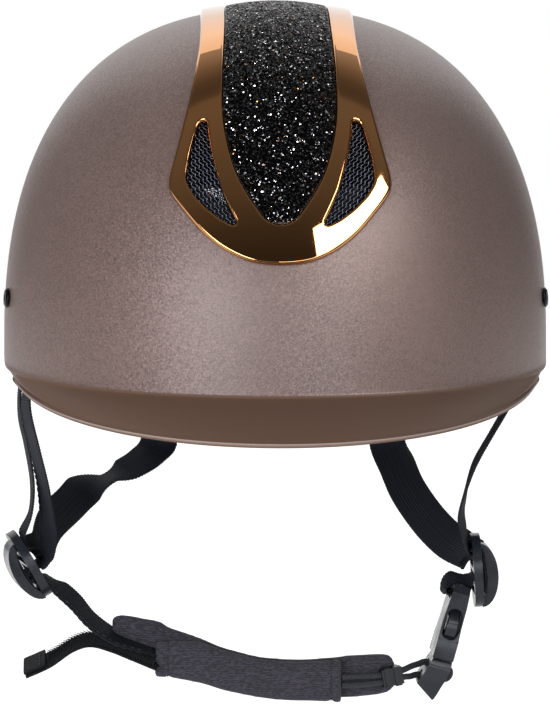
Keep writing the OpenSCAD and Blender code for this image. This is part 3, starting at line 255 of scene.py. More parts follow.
@dataclass(frozen=True)
class FlakeLacquer(Finish):
    """Matt metallic lacquer on moulded plastic: fine flakes catch the light one by one, under a dull clear coat."""

    dusk: str = "#6e5850"
    # Colour of the peak's upper face: painted shade, darker than the dome; that face is also made matt and not metallic
    # below.
    band: str = "#624532"
    # Painted highlight along the lip's rounded edge.
    rim: str = "#d8c4ba"
    flake_mm: float = 0.4
    cloud_mm: float = 35.0

    def dress(self, tree: Tree, shader: bpy.types.Node) -> None:
        """Tilts each flake a little, paints shade on the smooth band of the peak and makes it matt, and paints a
        highlight along the lip.
        """
        where = self.place(tree)
        # Real flakes are about 0.05 mm; these are as coarse as the picture needs
        flakes = add_node(tree, "ShaderNodeTexVoronoi", {"Vector": where, "Scale": 1000 / self.flake_mm})
        spark = add_node(tree, "ShaderNodeSeparateColor", {"Color": flakes.outputs["Color"]}).outputs["Red"]
        band, rim = (add_node(tree, "ShaderNodeAttribute", attribute_name=name).outputs["Fac"]
                     for name in ("band", "rim"))
        tone = tint(tree, speckle(tree, where, self.cloud_mm, 3.0), linear(self.colour), linear(self.dusk))
        toned = scaled(tree, tone, remap(tree, spark, 0.68, 1.42))
        # Painted shade: the peak's band takes the darker colour, and loses its metal flakes and most of its coat.
        band_shaded = tint(tree, band, toned, linear(self.band))
        feed(tree, shader, {
            # Painted highlight: a pale line along the lip.
            "Base Color": tint(tree, rim, band_shaded, linear(self.rim)),
            "Metallic": remap(tree, band, self.metallic, 0.0),
            "Roughness": remap(tree, band, self.roughness, 0.7),
            "Coat Weight": remap(tree, band, 0.6, 0.06),
            "Coat Roughness": 0.4,
            "Normal": leaned(tree, flakes.outputs["Color"], remap(tree, band, 0.3, 0.03))})


@dataclass(frozen=True)
class AmberChrome(Finish):
    """Chromium plated plastic under clear amber lacquer: a mirror that turns what it shows to gold and brown."""

    pale: str = "#d09459"

    def dress(self, tree: Tree, shader: bpy.types.Node) -> None:
        """Adds the faint waviness that plating keeps from the moulding."""
        where = self.place(tree)
        swell, film, dust = (speckle(tree, where, *kind) for kind in ((14, 1.0), (40, 2.0), (6, 4.0)))
        feed(tree, shader, {
            "Base Color": tint(tree, film, linear(self.colour), linear(self.pale)),
            "Roughness": remap(tree, dust, self.roughness, 0.07, 0.55, 0.8),
            "Coat Weight": 0.6,
            "Coat Roughness": 0.02,
            "Normal": bump(tree, swell, 0.05, 0.0004)})


@dataclass(frozen=True)
class CrushedGlitter(Finish):
    """Black glitter cloth: crushed glass bonded to a backing, each chip at its own tilt."""

    chip_mm: float = 0.5
    foil_from: float = 0.91

    def dress(self, tree: Tree, shader: bpy.types.Node) -> None:
        """Gives each chip its own shade, with a few silver and copper ones."""
        chips = add_node(tree, "ShaderNodeTexVoronoi", {"Vector": self.place(tree), "Scale": 1000 / self.chip_mm})
        pick = add_node(tree, "ShaderNodeSeparateColor", {"Color": chips.outputs["Color"]}).outputs["Red"]
        ramp = add_node(tree, "ShaderNodeValToRGB", {"Fac": pick})
        ramp.color_ramp.interpolation = "CONSTANT"
        stops = ((0.0, "#020202"), (0.7, "#050405"), (0.87, "#0e0d0f"), (self.foil_from, "#7f7c84"),
                 (0.95, "#f4f4f8"), (0.985, "#b07c52"))
        for spot, code in stops[1:]:
            ramp.color_ramp.elements.new(spot)
        for stop, (spot, code) in zip(ramp.color_ramp.elements, stops):
            stop.position, stop.color = spot, linear(code)
        feed(tree, shader, {
            "Base Color": ramp.outputs["Color"],
            "Metallic": calc(tree, "GREATER_THAN", pick, self.foil_from),
            "Specular IOR Level": 0.06,
            "Normal": leaned(tree, chips.outputs["Color"], 1.1)})


@dataclass(frozen=True)
class Webbing(Finish):
    """Woven polyester webbing: ribs across the strap with a fine warp between, dull all over."""

    rib_mm: float = 1.1
    warp_mm: float = 0.55
    # Colour of the weave's crests: painted highlight.
    light: str = "#252732"

    def dress(self, tree: Tree, shader: bpy.types.Node) -> None:
        """Draws the ribs along the strap's length and the warp threads across its width, in the relief and in the
        colour: painted highlight on their crests and painted shade between them, with a random fuzz.
        """
        spot = add_node(tree, "ShaderNodeSeparateXYZ", {"Vector": self.place(tree, Pattern.ALONG)})
        rib = calc(tree, "MULTIPLY", spot.outputs["X"], math.tau / (self.rib_mm * MM))
        warp = calc(tree, "MULTIPLY", spot.outputs["Y"], math.tau / (self.warp_mm * MM))
        wave = calc(tree, "SINE", calc(tree, "MULTIPLY_ADD", warp, 0.5, rib))
        weave = calc(tree, "MULTIPLY_ADD", wave, 0.6, calc(tree, "SINE", warp))
        height = calc(tree, "MULTIPLY_ADD", speckle(tree, self.place(tree), 0.7, 4.0), 2.0, weave)
        # The colour follows the weave's height: painted highlight on the crests and painted shade in the grooves, with
        # the fuzz's random tone.
        shade = remap(tree, height, 0.0, 1.0, -0.8, 2.8)
        feed(tree, shader, {
            "Base Color": tint(tree, shade, linear(self.colour), linear(self.light)),
            "Specular IOR Level": 0.25,
            "Normal": bump(tree, height, 0.5, 0.00012)})


@dataclass(frozen=True)
class Knit(Finish):
    """Knitted polyester lining: rows of small loops over foam, soft and dull."""

    wale_mm: float = 1.15
    # Colour that the loops' crests and the melange dye lean to: painted highlight, and the yarn's own colour.
    light: str = "#313138"

    def dress(self, tree: Tree, shader: bpy.types.Node) -> None:
        """Draws loops as pairs of slanting stitches, in columns that run up the piece, in the relief and in the colour:
        painted highlight on the loops' crests and painted shade between them, mottled by the melange yarn's dye.
        """
        where = self.place(tree)
        spot = add_node(tree, "ShaderNodeSeparateXYZ", {"Vector": where})
        side = calc(tree, "ADD", spot.outputs["X"], spot.outputs["Y"])
        column = calc(tree, "MULTIPLY", side, math.tau / (self.wale_mm * MM))
        lean = calc(tree, "ABSOLUTE", calc(tree, "COSINE", column))
        course = calc(tree, "MULTIPLY", spot.outputs["Z"], math.tau / (self.wale_mm * 0.8 * MM))
        loops = calc(tree, "SINE", calc(tree, "MULTIPLY_ADD", lean, 2.4, course))
        height = calc(tree, "MULTIPLY_ADD", speckle(tree, where, 0.9, 5.0), 2.2, loops)
        drawn = add_node(tree, "ShaderNodeMapping", {"Vector": where, "Scale": (0.3, 0.3, 1.2)}).outputs[0]
        dyed = remap(tree, speckle(tree, drawn, 0.5, 2.0), 0.0, 0.6, 0.42, 0.64)
        # Painted highlight on the loops' crests and painted shade between them, added to the melange yarn's random dye.
        loop_shade_and_melange = calc(tree, "ADD", remap(tree, height, 0.0, 0.35, -0.2, 2.6), dyed)
        feed(tree, shader, {
            "Base Color": tint(tree, loop_shade_and_melange, linear(self.colour), linear(self.light)),
            "Sheen Weight": 0.15,
            "Sheen Roughness": 0.5,
            "Normal": bump(tree, height, 0.55, 0.00018)})


@dataclass(frozen=True)
class BraidedElastic(Finish):
    """Braided polyester over a rubber core: strands cross in a small diamond pattern."""

    strand_mm: float = 1.6
    strands: int = 8
    # Colour of the strands' crests: painted highlight.
    light: str = "#3a3b42"

    def dress(self, tree: Tree, shader: bpy.types.Node) -> None:
        """Winds two sets of strands round the cord, one each way, in the relief and in the colour: painted highlight on
        the strands' crests and painted shade between them.
        """
        spot = add_node(tree, "ShaderNodeSeparateXYZ", {"Vector": self.place(tree, Pattern.ALONG)})
        run = calc(tree, "MULTIPLY", spot.outputs["X"], math.tau / (self.strand_mm * MM))
        turn = calc(tree, "MULTIPLY", spot.outputs["Y"], math.tau * self.strands)
        braid = calc(tree, "MULTIPLY", *(calc(tree, "SINE", calc(tree, way, run, turn))
                                         for way in ("ADD", "SUBTRACT")))
        # The colour follows the braid's height: painted highlight on the crests and painted shade between them.
        feed(tree, shader, {
            "Base Color": tint(tree, remap(tree, braid, 0.0, 1.0, -1.0, 1.0), linear(self.colour),
                               linear(self.light)),
            "Normal": bump(tree, braid, 0.8, 0.0002)})


@dataclass(frozen=True)
class Moulded(Finish):
    """Injection moulded plastic: an even spark-eroded grain from the tool, with slight mottling."""

    grain_mm: float = 0.45
    grain: float = 0.25
    cloud_mm: float = 9.0

    def dress(self, tree: Tree, shader: bpy.types.Node) -> None:
        """Adds the tool's grain to the height and the gloss."""
        where = self.place(tree)
        cloud = speckle(tree, where, self.cloud_mm, 4.0)
        feed(tree, shader, {
            "Base Color": scaled(tree, linear(self.colour)[:3], remap(tree, cloud, 0.85, 1.2)),
            "Roughness": remap(tree, cloud, self.roughness - 0.06, self.roughness + 0.1, 0.3, 0.7),
            "Specular IOR Level": 0.34,
            "Normal": bump(tree, speckle(tree, where, self.grain_mm, 3.0), self.grain, 0.0001)})


@dataclass(frozen=True)
class BeadFoam(Finish):
    """Expanded polystyrene: swollen beads pressed together, with fine dark lines between them."""

    bead_mm: float = 3.2
    joint: str = "#101012"

    def dress(self, tree: Tree, shader: bpy.types.Node) -> None:
        """Draws the beads and their joints."""
        beads = add_node(tree, "ShaderNodeTexVoronoi", {"Vector": self.place(tree), "Scale": 1000 / self.bead_mm},
                         feature="DISTANCE_TO_EDGE")
        face = remap(tree, beads.outputs["Distance"], 0.0, 1.0, 0.0, 0.16)
        feed(tree, shader, {
            "Base Color": tint(tree, face, linear(self.joint), linear(self.colour)),
            "Normal": bump(tree, face, 0.5, 0.0004)})


@dataclass(frozen=True)
class Metal(Finish):
    """Rolled or turned metal: fine lines from the tool along one direction."""

    line_mm: float = 0.3
    stretch: tuple[float, float, float] = (1.0, 1.0, 0.08)

    def dress(self, tree: Tree, shader: bpy.types.Node) -> None:
        """Stretches a fine noise along the tool's direction."""
        turned = add_node(tree, "ShaderNodeMapping", {"Vector": self.place(tree), "Scale": self.stretch})
        lines = speckle(tree, turned.outputs[0], self.line_mm, 3.0)
        feed(tree, shader, {
            "Roughness": remap(tree, lines, self.roughness - 0.08, self.roughness + 0.1, 0.3, 0.7),
            "Normal": bump(tree, lines, 0.15, 0.00008)})


SHELL_PAINT = FlakeLacquer("matt_flake_lacquer", "#79615a", 0.5, 0.36)
AMBER_CHROME = AmberChrome("amber_lacquered_chrome", "#c9894e", 0.03, 1.0)
GLITTER = CrushedGlitter("crushed_glass_glitter", "#101013", 0.16)
NET_WIRE = Metal("blackened_net_wire", "#4f525c", 0.24, 1.0)
WEB = Webbing("woven_polyester_webbing", "#090a0e", 0.7)
HOOK_TAPE = Webbing("hook_tape_backing", "#060608", 0.7, rib_mm=0.8, light="#17181d")
HOOKS = Moulded("moulded_nylon_hooks", "#0c0d11", 0.45)
THREAD = Moulded("bonded_nylon_thread", "#2c2e36", 0.5)
PAD_KNIT = Knit("charcoal_pad_knit", "#0f0e13", 0.85, light="#4a4350")
LINING = Knit("black_lining_knit", "#121215", 0.88, wale_mm=1.4, light="#2c2c31")
BINDING = Knit("black_edge_binding", "#141417", 0.8, wale_mm=0.9, light="#2b2b30")
ELASTIC = BraidedElastic("braided_elastic_cord", "#0e0e12", 0.7)
FOAM = BeadFoam("black_bead_foam", "#232327", 0.75)
SLATE_PLASTIC = Moulded("slate_acetal", "#1e2027", 0.22)
BLACK_PLASTIC = Moulded("black_nylon", "#121216", 0.28)
ACETAL = Moulded("grey_acetal", "#3b3c42", 0.35)
BLACK_SCREW = Metal("blackened_steel", "#1a1a1d", 0.35, 0.9)
STEEL = Metal("zinc_plated_steel", "#a9abb0", 0.28, 1.0)


# Meshes


class Wrap(Enum):
    """How a lattice of points closes on itself."""

    SHEET = "open both ways"
    TUBE = "closed across"
    RING = "closed both ways"


class Lattice:
    """Rows and columns of points, made with bmesh operators and then moved to their places."""

    def __init__(self, columns: int, rows: int, wrap: Wrap) -> None:
        """Makes the plain lattice and numbers its points.

        Args:
            columns: Points across.
            rows: Points along.
            wrap: How it closes.
        """
        self.columns, self.rows, self.wrap = columns, rows, wrap
        self.bm: BMesh = bmesh.new()
        self.row = self.bm.verts.layers.int.new("row")
        self.column = self.bm.verts.layers.int.new("column")
        if wrap is Wrap.SHEET:
            bmesh.ops.create_grid(self.bm, x_segments=columns - 1, y_segments=rows - 1, size=1)
            for v in self.bm.verts:
                v[self.column] = round((v.co.x + 1) / 2 * (columns - 1))
                v[self.row] = round((v.co.y + 1) / 2 * (rows - 1))
            return
        bmesh.ops.create_circle(self.bm, segments=columns, radius=1)
        outline = self.bm.verts[:] + self.bm.edges[:]
        if wrap is Wrap.TUBE:
            bmesh.ops.spin(self.bm, geom=outline, axis=(0, 0, 1), dvec=(0, 0, 1), angle=0, steps=rows - 1)
            for v in self.bm.verts:
                v[self.column] = round(math.atan2(v.co.y, v.co.x) / math.tau * columns) % columns
                v[self.row] = round(v.co.z)
            return
        bmesh.ops.rotate(self.bm, verts=self.bm.verts, matrix=Matrix.Rotation(math.pi / 2, 3, "X"))
        bmesh.ops.translate(self.bm, verts=self.bm.verts, vec=(3, 0, 0))
        bmesh.ops.spin(self.bm, geom=outline, axis=(0, 0, 1), angle=math.tau, steps=rows, use_merge=True)
        for v in self.bm.verts:
            across = math.hypot(v.co.x, v.co.y) - 3
            v[self.column] = round(math.atan2(v.co.z, across) / math.tau * columns) % columns
            v[self.row] = round(math.atan2(v.co.y, v.co.x) / math.tau * rows) % rows

    def warp(self, place: Place) -> "Lattice":
        """Moves every point to its place, given in millimetres for its row and column."""
        for v in self.bm.verts:
            v.co = place(v[self.row], v[self.column]) * MM
        return self

    def mark(self, name: str, value: Callable[[int, int], float]) -> None:
        """Keeps a number on every point for the finish to read."""
        layer = self.bm.verts.layers.float.new(name)
        for v in self.bm.verts:
            v[layer] = value(v[self.row], v[self.column])

    def map(self, along: Sequence[float], across: Sequence[float]) -> None:
        """Lays out the UV map in real sizes.

        Args:
            along: Metres along the piece for each row, and one more where the rows close.
            across: Metres across the piece for each column, and one more where the columns close.
        """
        layer = self.bm.loops.layers.uv.new("UVMap")
        for face in self.bm.faces:
            rows = [loop.vert[self.row] for loop in face.loops]
            columns = [loop.vert[self.column] for loop in face.loops]
            for loop, r, c in zip(face.loops, rows, columns):
                if self.wrap is Wrap.RING and r == 0 and max(rows) == self.rows - 1:
                    r = self.rows
                if self.wrap is not Wrap.SHEET and c == 0 and max(columns) == self.columns - 1:
                    c = self.columns
                loop[layer].uv = (along[r], across[c])

    def close(self) -> "Lattice":
        """Merges the poles and fills the open ends."""
        bmesh.ops.remove_doubles(self.bm, verts=self.bm.verts, dist=0.00001)
        rim = [e for e in self.bm.edges if e.is_boundary]
        if rim:
            bmesh.ops.holes_fill(self.bm, edges=rim, sides=0)
        return self


def mesh_from(bm: BMesh, name: str) -> bpy.types.Mesh:
    """Turns a bmesh into a mesh and frees it."""
    mesh = bpy.data.meshes.new(name)
    bm.to_mesh(mesh)
    bm.free()
    return mesh


def add_object(name: str, data: bpy.types.ID) -> Thing:
    """Puts a new object into the scene."""
    made = bpy.data.objects.new(name, data)
    bpy.context.scene.collection.objects.link(made)
    return made


def publish(bm: BMesh, name: str, finish: Finish, body: str | None, stands_for: Sequence[str] = (),
            crisp: float = 40.0) -> Thing:
    """Turns a finished bmesh into a piece that rides on its body.

    Args:
        bm: The mesh, in metres.
        name: The piece's name.
        finish: Its finish.
        body: The body that carries it, or None for a piece that flexes between two bodies.
        stands_for: The CAD nodes that it replaces.
        crisp: Edges that turn by more degrees than this stay sharp.

    Returns:
        The new object.
    """
    bmesh.ops.recalc_face_normals(bm, faces=bm.faces)
    bm.normal_update()
    for edge in bm.edges:
        edge.smooth = len(edge.link_faces) == 2 and edge.calc_face_angle(0.0) < math.radians(crisp)
    for face in bm.faces:
        face.smooth = crisp > 0
    mesh = mesh_from(bm, name)
    piece = add_object(name, mesh)
    mesh.materials.append(finish.material())
    if stands_for:
        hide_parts(*stands_for)
    if body:
        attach(piece, body)
    LOG.info("%s: %d faces on %s", name, len(mesh.polygons), body or "two bodies")
    return piece


def settle(piece: Thing) -> None:
    """Applies a piece's modifiers to its mesh."""
    graph = bpy.context.evaluated_depsgraph_get()
    done = bpy.data.meshes.new_from_object(piece.evaluated_get(graph), depsgraph=graph)
    piece.modifiers.clear()
    piece.data = done


def cut(piece: Thing, cutter: BMesh) -> None:
    """Cuts a closed shape out of a piece and throws the cutter away."""
    bmesh.ops.recalc_face_normals(cutter, faces=cutter.faces)
    tool = add_object("cutter", mesh_from(cutter, "cutter"))
    step = piece.modifiers.new("cut", "BOOLEAN")
    step.operation, step.solver, step.object = "DIFFERENCE", "EXACT", tool
    settle(piece)
    bpy.data.objects.remove(tool)


def round_edges(piece: Thing, width: float, segments: int = 2, angle: float = 35.0) -> None:
    """Rounds a piece's sharp edges by a width in millimetres, and keeps its flats flat."""
    bevel = piece.modifiers.new("rounded edges", "BEVEL")
    bevel.width, bevel.segments, bevel.limit_method = width * MM, segments, "ANGLE"
    bevel.angle_limit, bevel.use_clamp_overlap, bevel.miter_outer = math.radians(angle), True, "MITER_ARC"
    flats = piece.modifiers.new("flat faces", "WEIGHTED_NORMAL")
    flats.keep_sharp = True


def node_copy(nodes: Sequence[str], name: str, finish: Finish, body: str, width: float = 0.35,
              segments: int = 2, form: Callable[[BMesh], None] | None = None,
              opening: BMesh | None = None) -> Thing:
    """Copies rigid CAD nodes as one merged mesh and rounds its edges.

    Args:
        nodes: The CAD nodes that the piece stands for.
        name: The piece's name.
        finish: Its finish.
        body: The body that carries it.
        width: The edges' radius in millimetres.
        segments: Faces round each edge.
        form: Changes the merged mesh before it becomes a piece.
        opening: A closed shape that is cut out of it.

    Returns:
        The piece.
    """
    bm = bmesh.new()
    for node in nodes:
        bm.from_mesh(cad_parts[node].data)
    bmesh.ops.remove_doubles(bm, verts=bm.verts, dist=0.00001)
    bmesh.ops.dissolve_limit(bm, angle_limit=math.radians(2), verts=bm.verts, edges=bm.edges)
    for layer in list(bm.loops.layers.uv):
        bm.loops.layers.uv.remove(layer)
    if form:
        form(bm)
    piece = publish(bm, name, finish, body, nodes, crisp=32)
    if opening:
        cut(piece, opening)
    if width:
        round_edges(piece, width, segments)
    return piece


# The form of the shell


@dataclass(frozen=True)
class HelmetForm:
    """The dome, its lower edge and its peak, as the solids have them. A plan angle of 0 is the front."""

    half_w: float = 110.0
    half_l: float = 131.0
    crown_h: float = 137.5
    belly_z: float = 20.0
    fullness: float = 2.43
    shell_t: float = 3.0
    curl: float = 5.0
    ear_z: float = 8.0
    nape_z: float = -2.0
    peak_reach: float = 37.0
    peak_drop: float = 4.6
    crease_z: float = 10.2
    peak_half_w: float = 106.5
    peak_t: float = 2.8
    liner_t: float = 22.0

    @property
    def liner_out(self) -> float:
        """Distance from the shell's face to the liner's outer face."""
        return -(self.shell_t + 0.3)

    @property
    def liner_in(self) -> float:
        """Distance from the shell's face to the liner's inner face."""
        return self.liner_out - self.liner_t

    def dome(self, turn: float, rise: float, out: float) -> Vector:
        """A point of the dome at a plan angle and a profile angle, moved out by a distance."""
        power = 2 / self.fullness
        t, u = math.radians(turn), math.radians(rise)
        r = max(0.0, math.cos(u)) ** power
        return Vector(((self.half_w + out) * r * math.sin(t), -(self.half_l + out) * r * math.cos(t),
                       self.belly_z + (self.crown_h + out) * math.sin(u) ** power))

    def wall(self, turn: float, z: float, out: float) -> Vector:
        """A point of the upright wall below the widest level."""
        t = math.radians(turn)
        return Vector(((self.half_w + out) * math.sin(t), -(self.half_l + out) * math.cos(t), z))

    def over(self, a: float, x: float, out: float) -> Vector:
        """A point of the dome by its distance from the middle and its angle over the crown.

        Args:
            a: Degrees over the crown, from the front to the nape.
            x: Millimetres to the wearer's left.
            out: Distance out from the dome.

        Returns:
            The point.
        """
        n = self.fullness
        w, l, h = self.half_w + out, self.half_l + out, self.crown_h + out
        c, s = math.cos(math.radians(a)), math.sin(math.radians(a))
        base, plan, high = (x / w) ** 2, (c / l) ** 2, (s / h) ** n
        r = 170.0
        for _ in range(9):
            k = base + plan * r * r
            miss = k ** (n / 2) + high * r ** n - 1
            slope = n * plan * r * k ** (n / 2 - 1) + n * high * r ** (n - 1)
            r -= miss / slope
        return Vector((x, -r * c, self.belly_z + r * s))

    def angle_at(self, x: float, z: float) -> float:
        """The angle over the crown of a front point at a half width and a height."""
        k = (1 - ((z - self.belly_z) / self.crown_h) ** self.fullness) ** (2 / self.fullness)
        return math.degrees(math.atan2(z - self.belly_z, self.half_l * math.sqrt(k - (x / self.half_w) ** 2)))

    @staticmethod
    def fold(turn: float) -> float:
        """The plan angle's size, counted from the front."""
        return abs((turn + 180) % 360 - 180)

    def peak_share(self, turn: float) -> float:
        """1 where the peak stands out and 0 where the edge curls in."""
        return 1 - smooth(76, 92, self.fold(turn))

    def edge_z(self, turn: float) -> float:
        """Height of the shell's lower edge."""
        f = self.fold(turn)
        front = -self.peak_drop + 14.6 * (f / 80) ** 2
        side = mix(self.ear_z, self.nape_z, smooth(110, 165, f))
        return mix(front, side, smooth(70, 92, f))

    def crease_at(self, turn: float) -> float:
        """Height of the crease between the dome and the peak."""
        return self.crease_z + 2.8 * (min(self.fold(turn), 92) / 70) ** 2

    def lip(self, turn: float, out: float, up: float) -> Vector:
        """A point at the peak's lip."""
        t = math.radians(turn)
        return Vector(((self.peak_half_w + out) * math.sin(t),
                       -(self.half_l + self.peak_reach + out) * math.cos(t), self.edge_z(turn) + up))

    def edge_profile(self, turn: float) -> list[Vector]:
        """The shell's section from the wall out over the lip and back up inside."""
        up = Vector((0, 0, 1))
        c, z = self.crease_at(turn), self.edge_z(turn)
        root, rim = self.wall(turn, c, 0), self.lip(turn, 0, 1)
        peak = [self.wall(turn, c + 2.4, 0), self.wall(turn, c + 0.5, 0.25), mix(root, rim, 0.07),
                mix(root, rim, 0.45) + 0.7 * up, mix(root, rim, 0.8) + 0.6 * up,
                self.lip(turn, -1.3, 1.7), self.lip(turn, 0.2, 0.9), self.lip(turn, -0.4, -0.2),
                mix(root, self.lip(turn, -1, 1), 0.5) + (0.4 - self.peak_t) * up,
                self.wall(turn, c - self.peak_t - 0.6, -self.shell_t), self.wall(turn, c + 3, -self.shell_t),
                self.wall(turn, self.belly_z - 2, -self.shell_t)]
        curl = [self.wall(turn, z + dz, -share * self.curl - inset) for dz, share, inset in (
            (9, 0, 0), (6.4, 0.08, 0), (4.6, 0.2, 0), (3, 0.36, 0), (1.6, 0.56, 0), (0.6, 0.76, 0), (0, 1, 0),
            (0.2, 1, 1.2), (1.6, 1, 1.6), (3.6, 0.36, 3), (7, 0.1, 3))] + [self.wall(turn, self.belly_z - 2, -3)]
        k = self.peak_share(turn)
        return [mix(a, b, k) for a, b in zip(curl, peak)]

    def liner_z(self, turn: float) -> float:
        """Height of the liner's lower face."""
        return mix(self.edge_z(turn) + 3.2, self.crease_at(turn) - self.peak_t + 1, self.peak_share(turn))


FORM = HelmetForm()


def curve(points: Sequence[Vector], s: float) -> Vector:
    """A smooth curve through points, at a place counted in points."""
    i = max(0, min(int(s), len(points) - 2))
    f = s - i
    a, b = points[max(i - 1, 0)], points[i]
    c, d = points[i + 1], points[min(i + 2, len(points) - 1)]
    return 0.5 * (2 * b + (c - a) * f + (2 * a - 5 * b + 4 * c - d) * f * f + (3 * b - a - 3 * c + d) * f ** 3)


@dataclass
class OuterShell:
    """The lacquered shell with its peak in one moulding, and the two screws that hold the straps."""

    turns: int = 300
    dome_step: int = 2
    lip_steps: int = 4
    cutter_grow: float = 1.4
    cutter_start: float = 0.62
    cutter_depth: float = 0.06
    screw_at: tuple[float, float, float] = (0.106, -0.0295, 0.042)
    screw_hole_r: float = 0.0023
    screw_hole_depth: float = 0.02

    def build(self) -> None:
        """Makes the shell, cuts the vents and adds the screws."""
        shell = self.skin()
        cut(shell, self.vents())
        for side in ("left", "right"):
            node_copy((f"side_screw_{side}",), f"screw_{side}", BLACK_SCREW, "helmet", 0.25)
            node_copy((f"strap_anchor_{side}",), f"anchor_plate_{side}", STEEL, "helmet", 0.3)

    def skin(self) -> Thing:
        """Spins a profile round the head and moves its points onto the shell."""
        rises = [90.0 - i for i in range(0, 90, self.dome_step)]
        inner = [8.0 * i for i in range(1, 11)] + [90.0]
        knots = 13
        lower = [i / self.lip_steps for i in range((knots - 1) * self.lip_steps + 1)]
        columns: list[list[Vector]] = []
        for i in range(self.turns):
            turn = 360 * i / self.turns
            section = [FORM.wall(turn, FORM.belly_z, 0)] + FORM.edge_profile(turn)
            columns.append([FORM.dome(turn, u, 0) for u in rises] + [curve(section, s) for s in lower]
                           + [FORM.dome(turn, u, -FORM.shell_t) for u in inner])
        lattice = Lattice(self.turns, len(columns[0]), Wrap.TUBE).warp(lambda r, c: columns[c][r])
        start = len(rises)

        def knot(row: int) -> float:
            """The place of a row on the lower section, counted in its knots."""
            return (row - start) / self.lip_steps

        def band(row: int, column: int) -> float:
            """How far a point belongs to the peak's band, where shade is painted and the finish is matt; less of it
            towards the sides.
            """
            turn = 360 * column / self.turns
            s = knot(row)
            return smooth(1.7, 2.05, s) * FORM.peak_share(turn) * (1 - 0.3 * smooth(50, 88, FORM.fold(turn)))

        def rim(row: int, _column: int) -> float:
            """How far a point gets the painted highlight along the lip."""
            s = knot(row)
            return 0.5 * smooth(6.75, 6.95, s) * (1 - smooth(7.1, 7.4, s))

        # Where shade is painted on the peak's band.
        lattice.mark("band", band)
        # Where a highlight is painted along the lip.
        lattice.mark("rim", rim)
        lattice.close()
        return publish(lattice.bm, "shell", SHELL_PAINT, "helmet", ("outer_shell",), crisp=60)

    def vents(self) -> BMesh:
        """The shape of the four vents, and of the two screw holes, to cut from the shell."""
        bm = bmesh.new()
        for front in (1, -1):
            for side in (1, -1):
                ring = []
                for p in FRAME_PLAN.vent(side, front < 0, self.cutter_grow):
                    spot = FORM.over(p.y / SPREAD, p.x, 0)
                    ring.append(bm.verts.new(Vector((spot.x, -front * FORM.half_l * self.cutter_start, spot.z)) * MM))
                face = bmesh.ops.contextual_create(bm, geom=ring)["faces"]
                grown = bmesh.ops.extrude_face_region(bm, geom=face)["geom"]
                bmesh.ops.translate(bm, verts=[g for g in grown if isinstance(g, bmesh.types.BMVert)],
                                    vec=(0, -front * self.cutter_depth, 0))
        x, y, z = self.screw_at
        for side in (1, -1):
            spot = Matrix.Translation((side * x, y, z)) @ Matrix.Rotation(math.pi / 2, 4, "Y")
            bmesh.ops.create_cone(bm, cap_ends=True, segments=24, radius1=self.screw_hole_r,
                                  radius2=self.screw_hole_r, depth=self.screw_hole_depth, matrix=spot)
        return bm


# The frame, the inlay and the nets over the crown

SPREAD = 2.4  # millimetres over the crown for one degree


def soften(loop: Sequence[Vector], step: float, reach: float) -> list[Vector]:
    """Spaces a closed outline's points evenly and rounds its corners.

    Args:
        loop: The outline's points, without its first point again at the end.
        step: Space between the new points in millimetres.
        reach: How far along the outline the rounding reaches.

    Returns:
        The new outline, counterclockwise.
    """
    ends = list(loop[1:]) + [loop[0]]
    area = sum(a.x * b.y - b.x * a.y for a, b in zip(loop, ends))
    ring = list(loop) if area > 0 else list(loop)[::-1]
    ring.append(ring[0])
    lengths = running(ring)
    count, here, points = round(lengths[-1] / step), 0, []
    for i in range(count):
        want = lengths[-1] * i / count
        while lengths[here + 1] < want:
            here += 1
        points.append(mix(ring[here], ring[here + 1], (want - lengths[here]) / (lengths[here + 1] - lengths[here])))
    window = max(1, round(reach / step / 2))
    for _ in range(2):
        points = [sum((points[(i + k) % count] for k in range(-window, window + 1)), Vector((0, 0)))
                  / (2 * window + 1) for i in range(count)]
    return points


def shifted(loop: Sequence[Vector], distance: float) -> list[Vector]:
    """Moves a counterclockwise outline inward by a distance, or outward if it is negative."""
    count = len(loop)
    moved = []
    for i, point in enumerate(loop):
        along = (loop[(i + 1) % count] - loop[i - 1]).normalized()
        moved.append(point + Vector((-along.y, along.x)) * distance)
    return moved


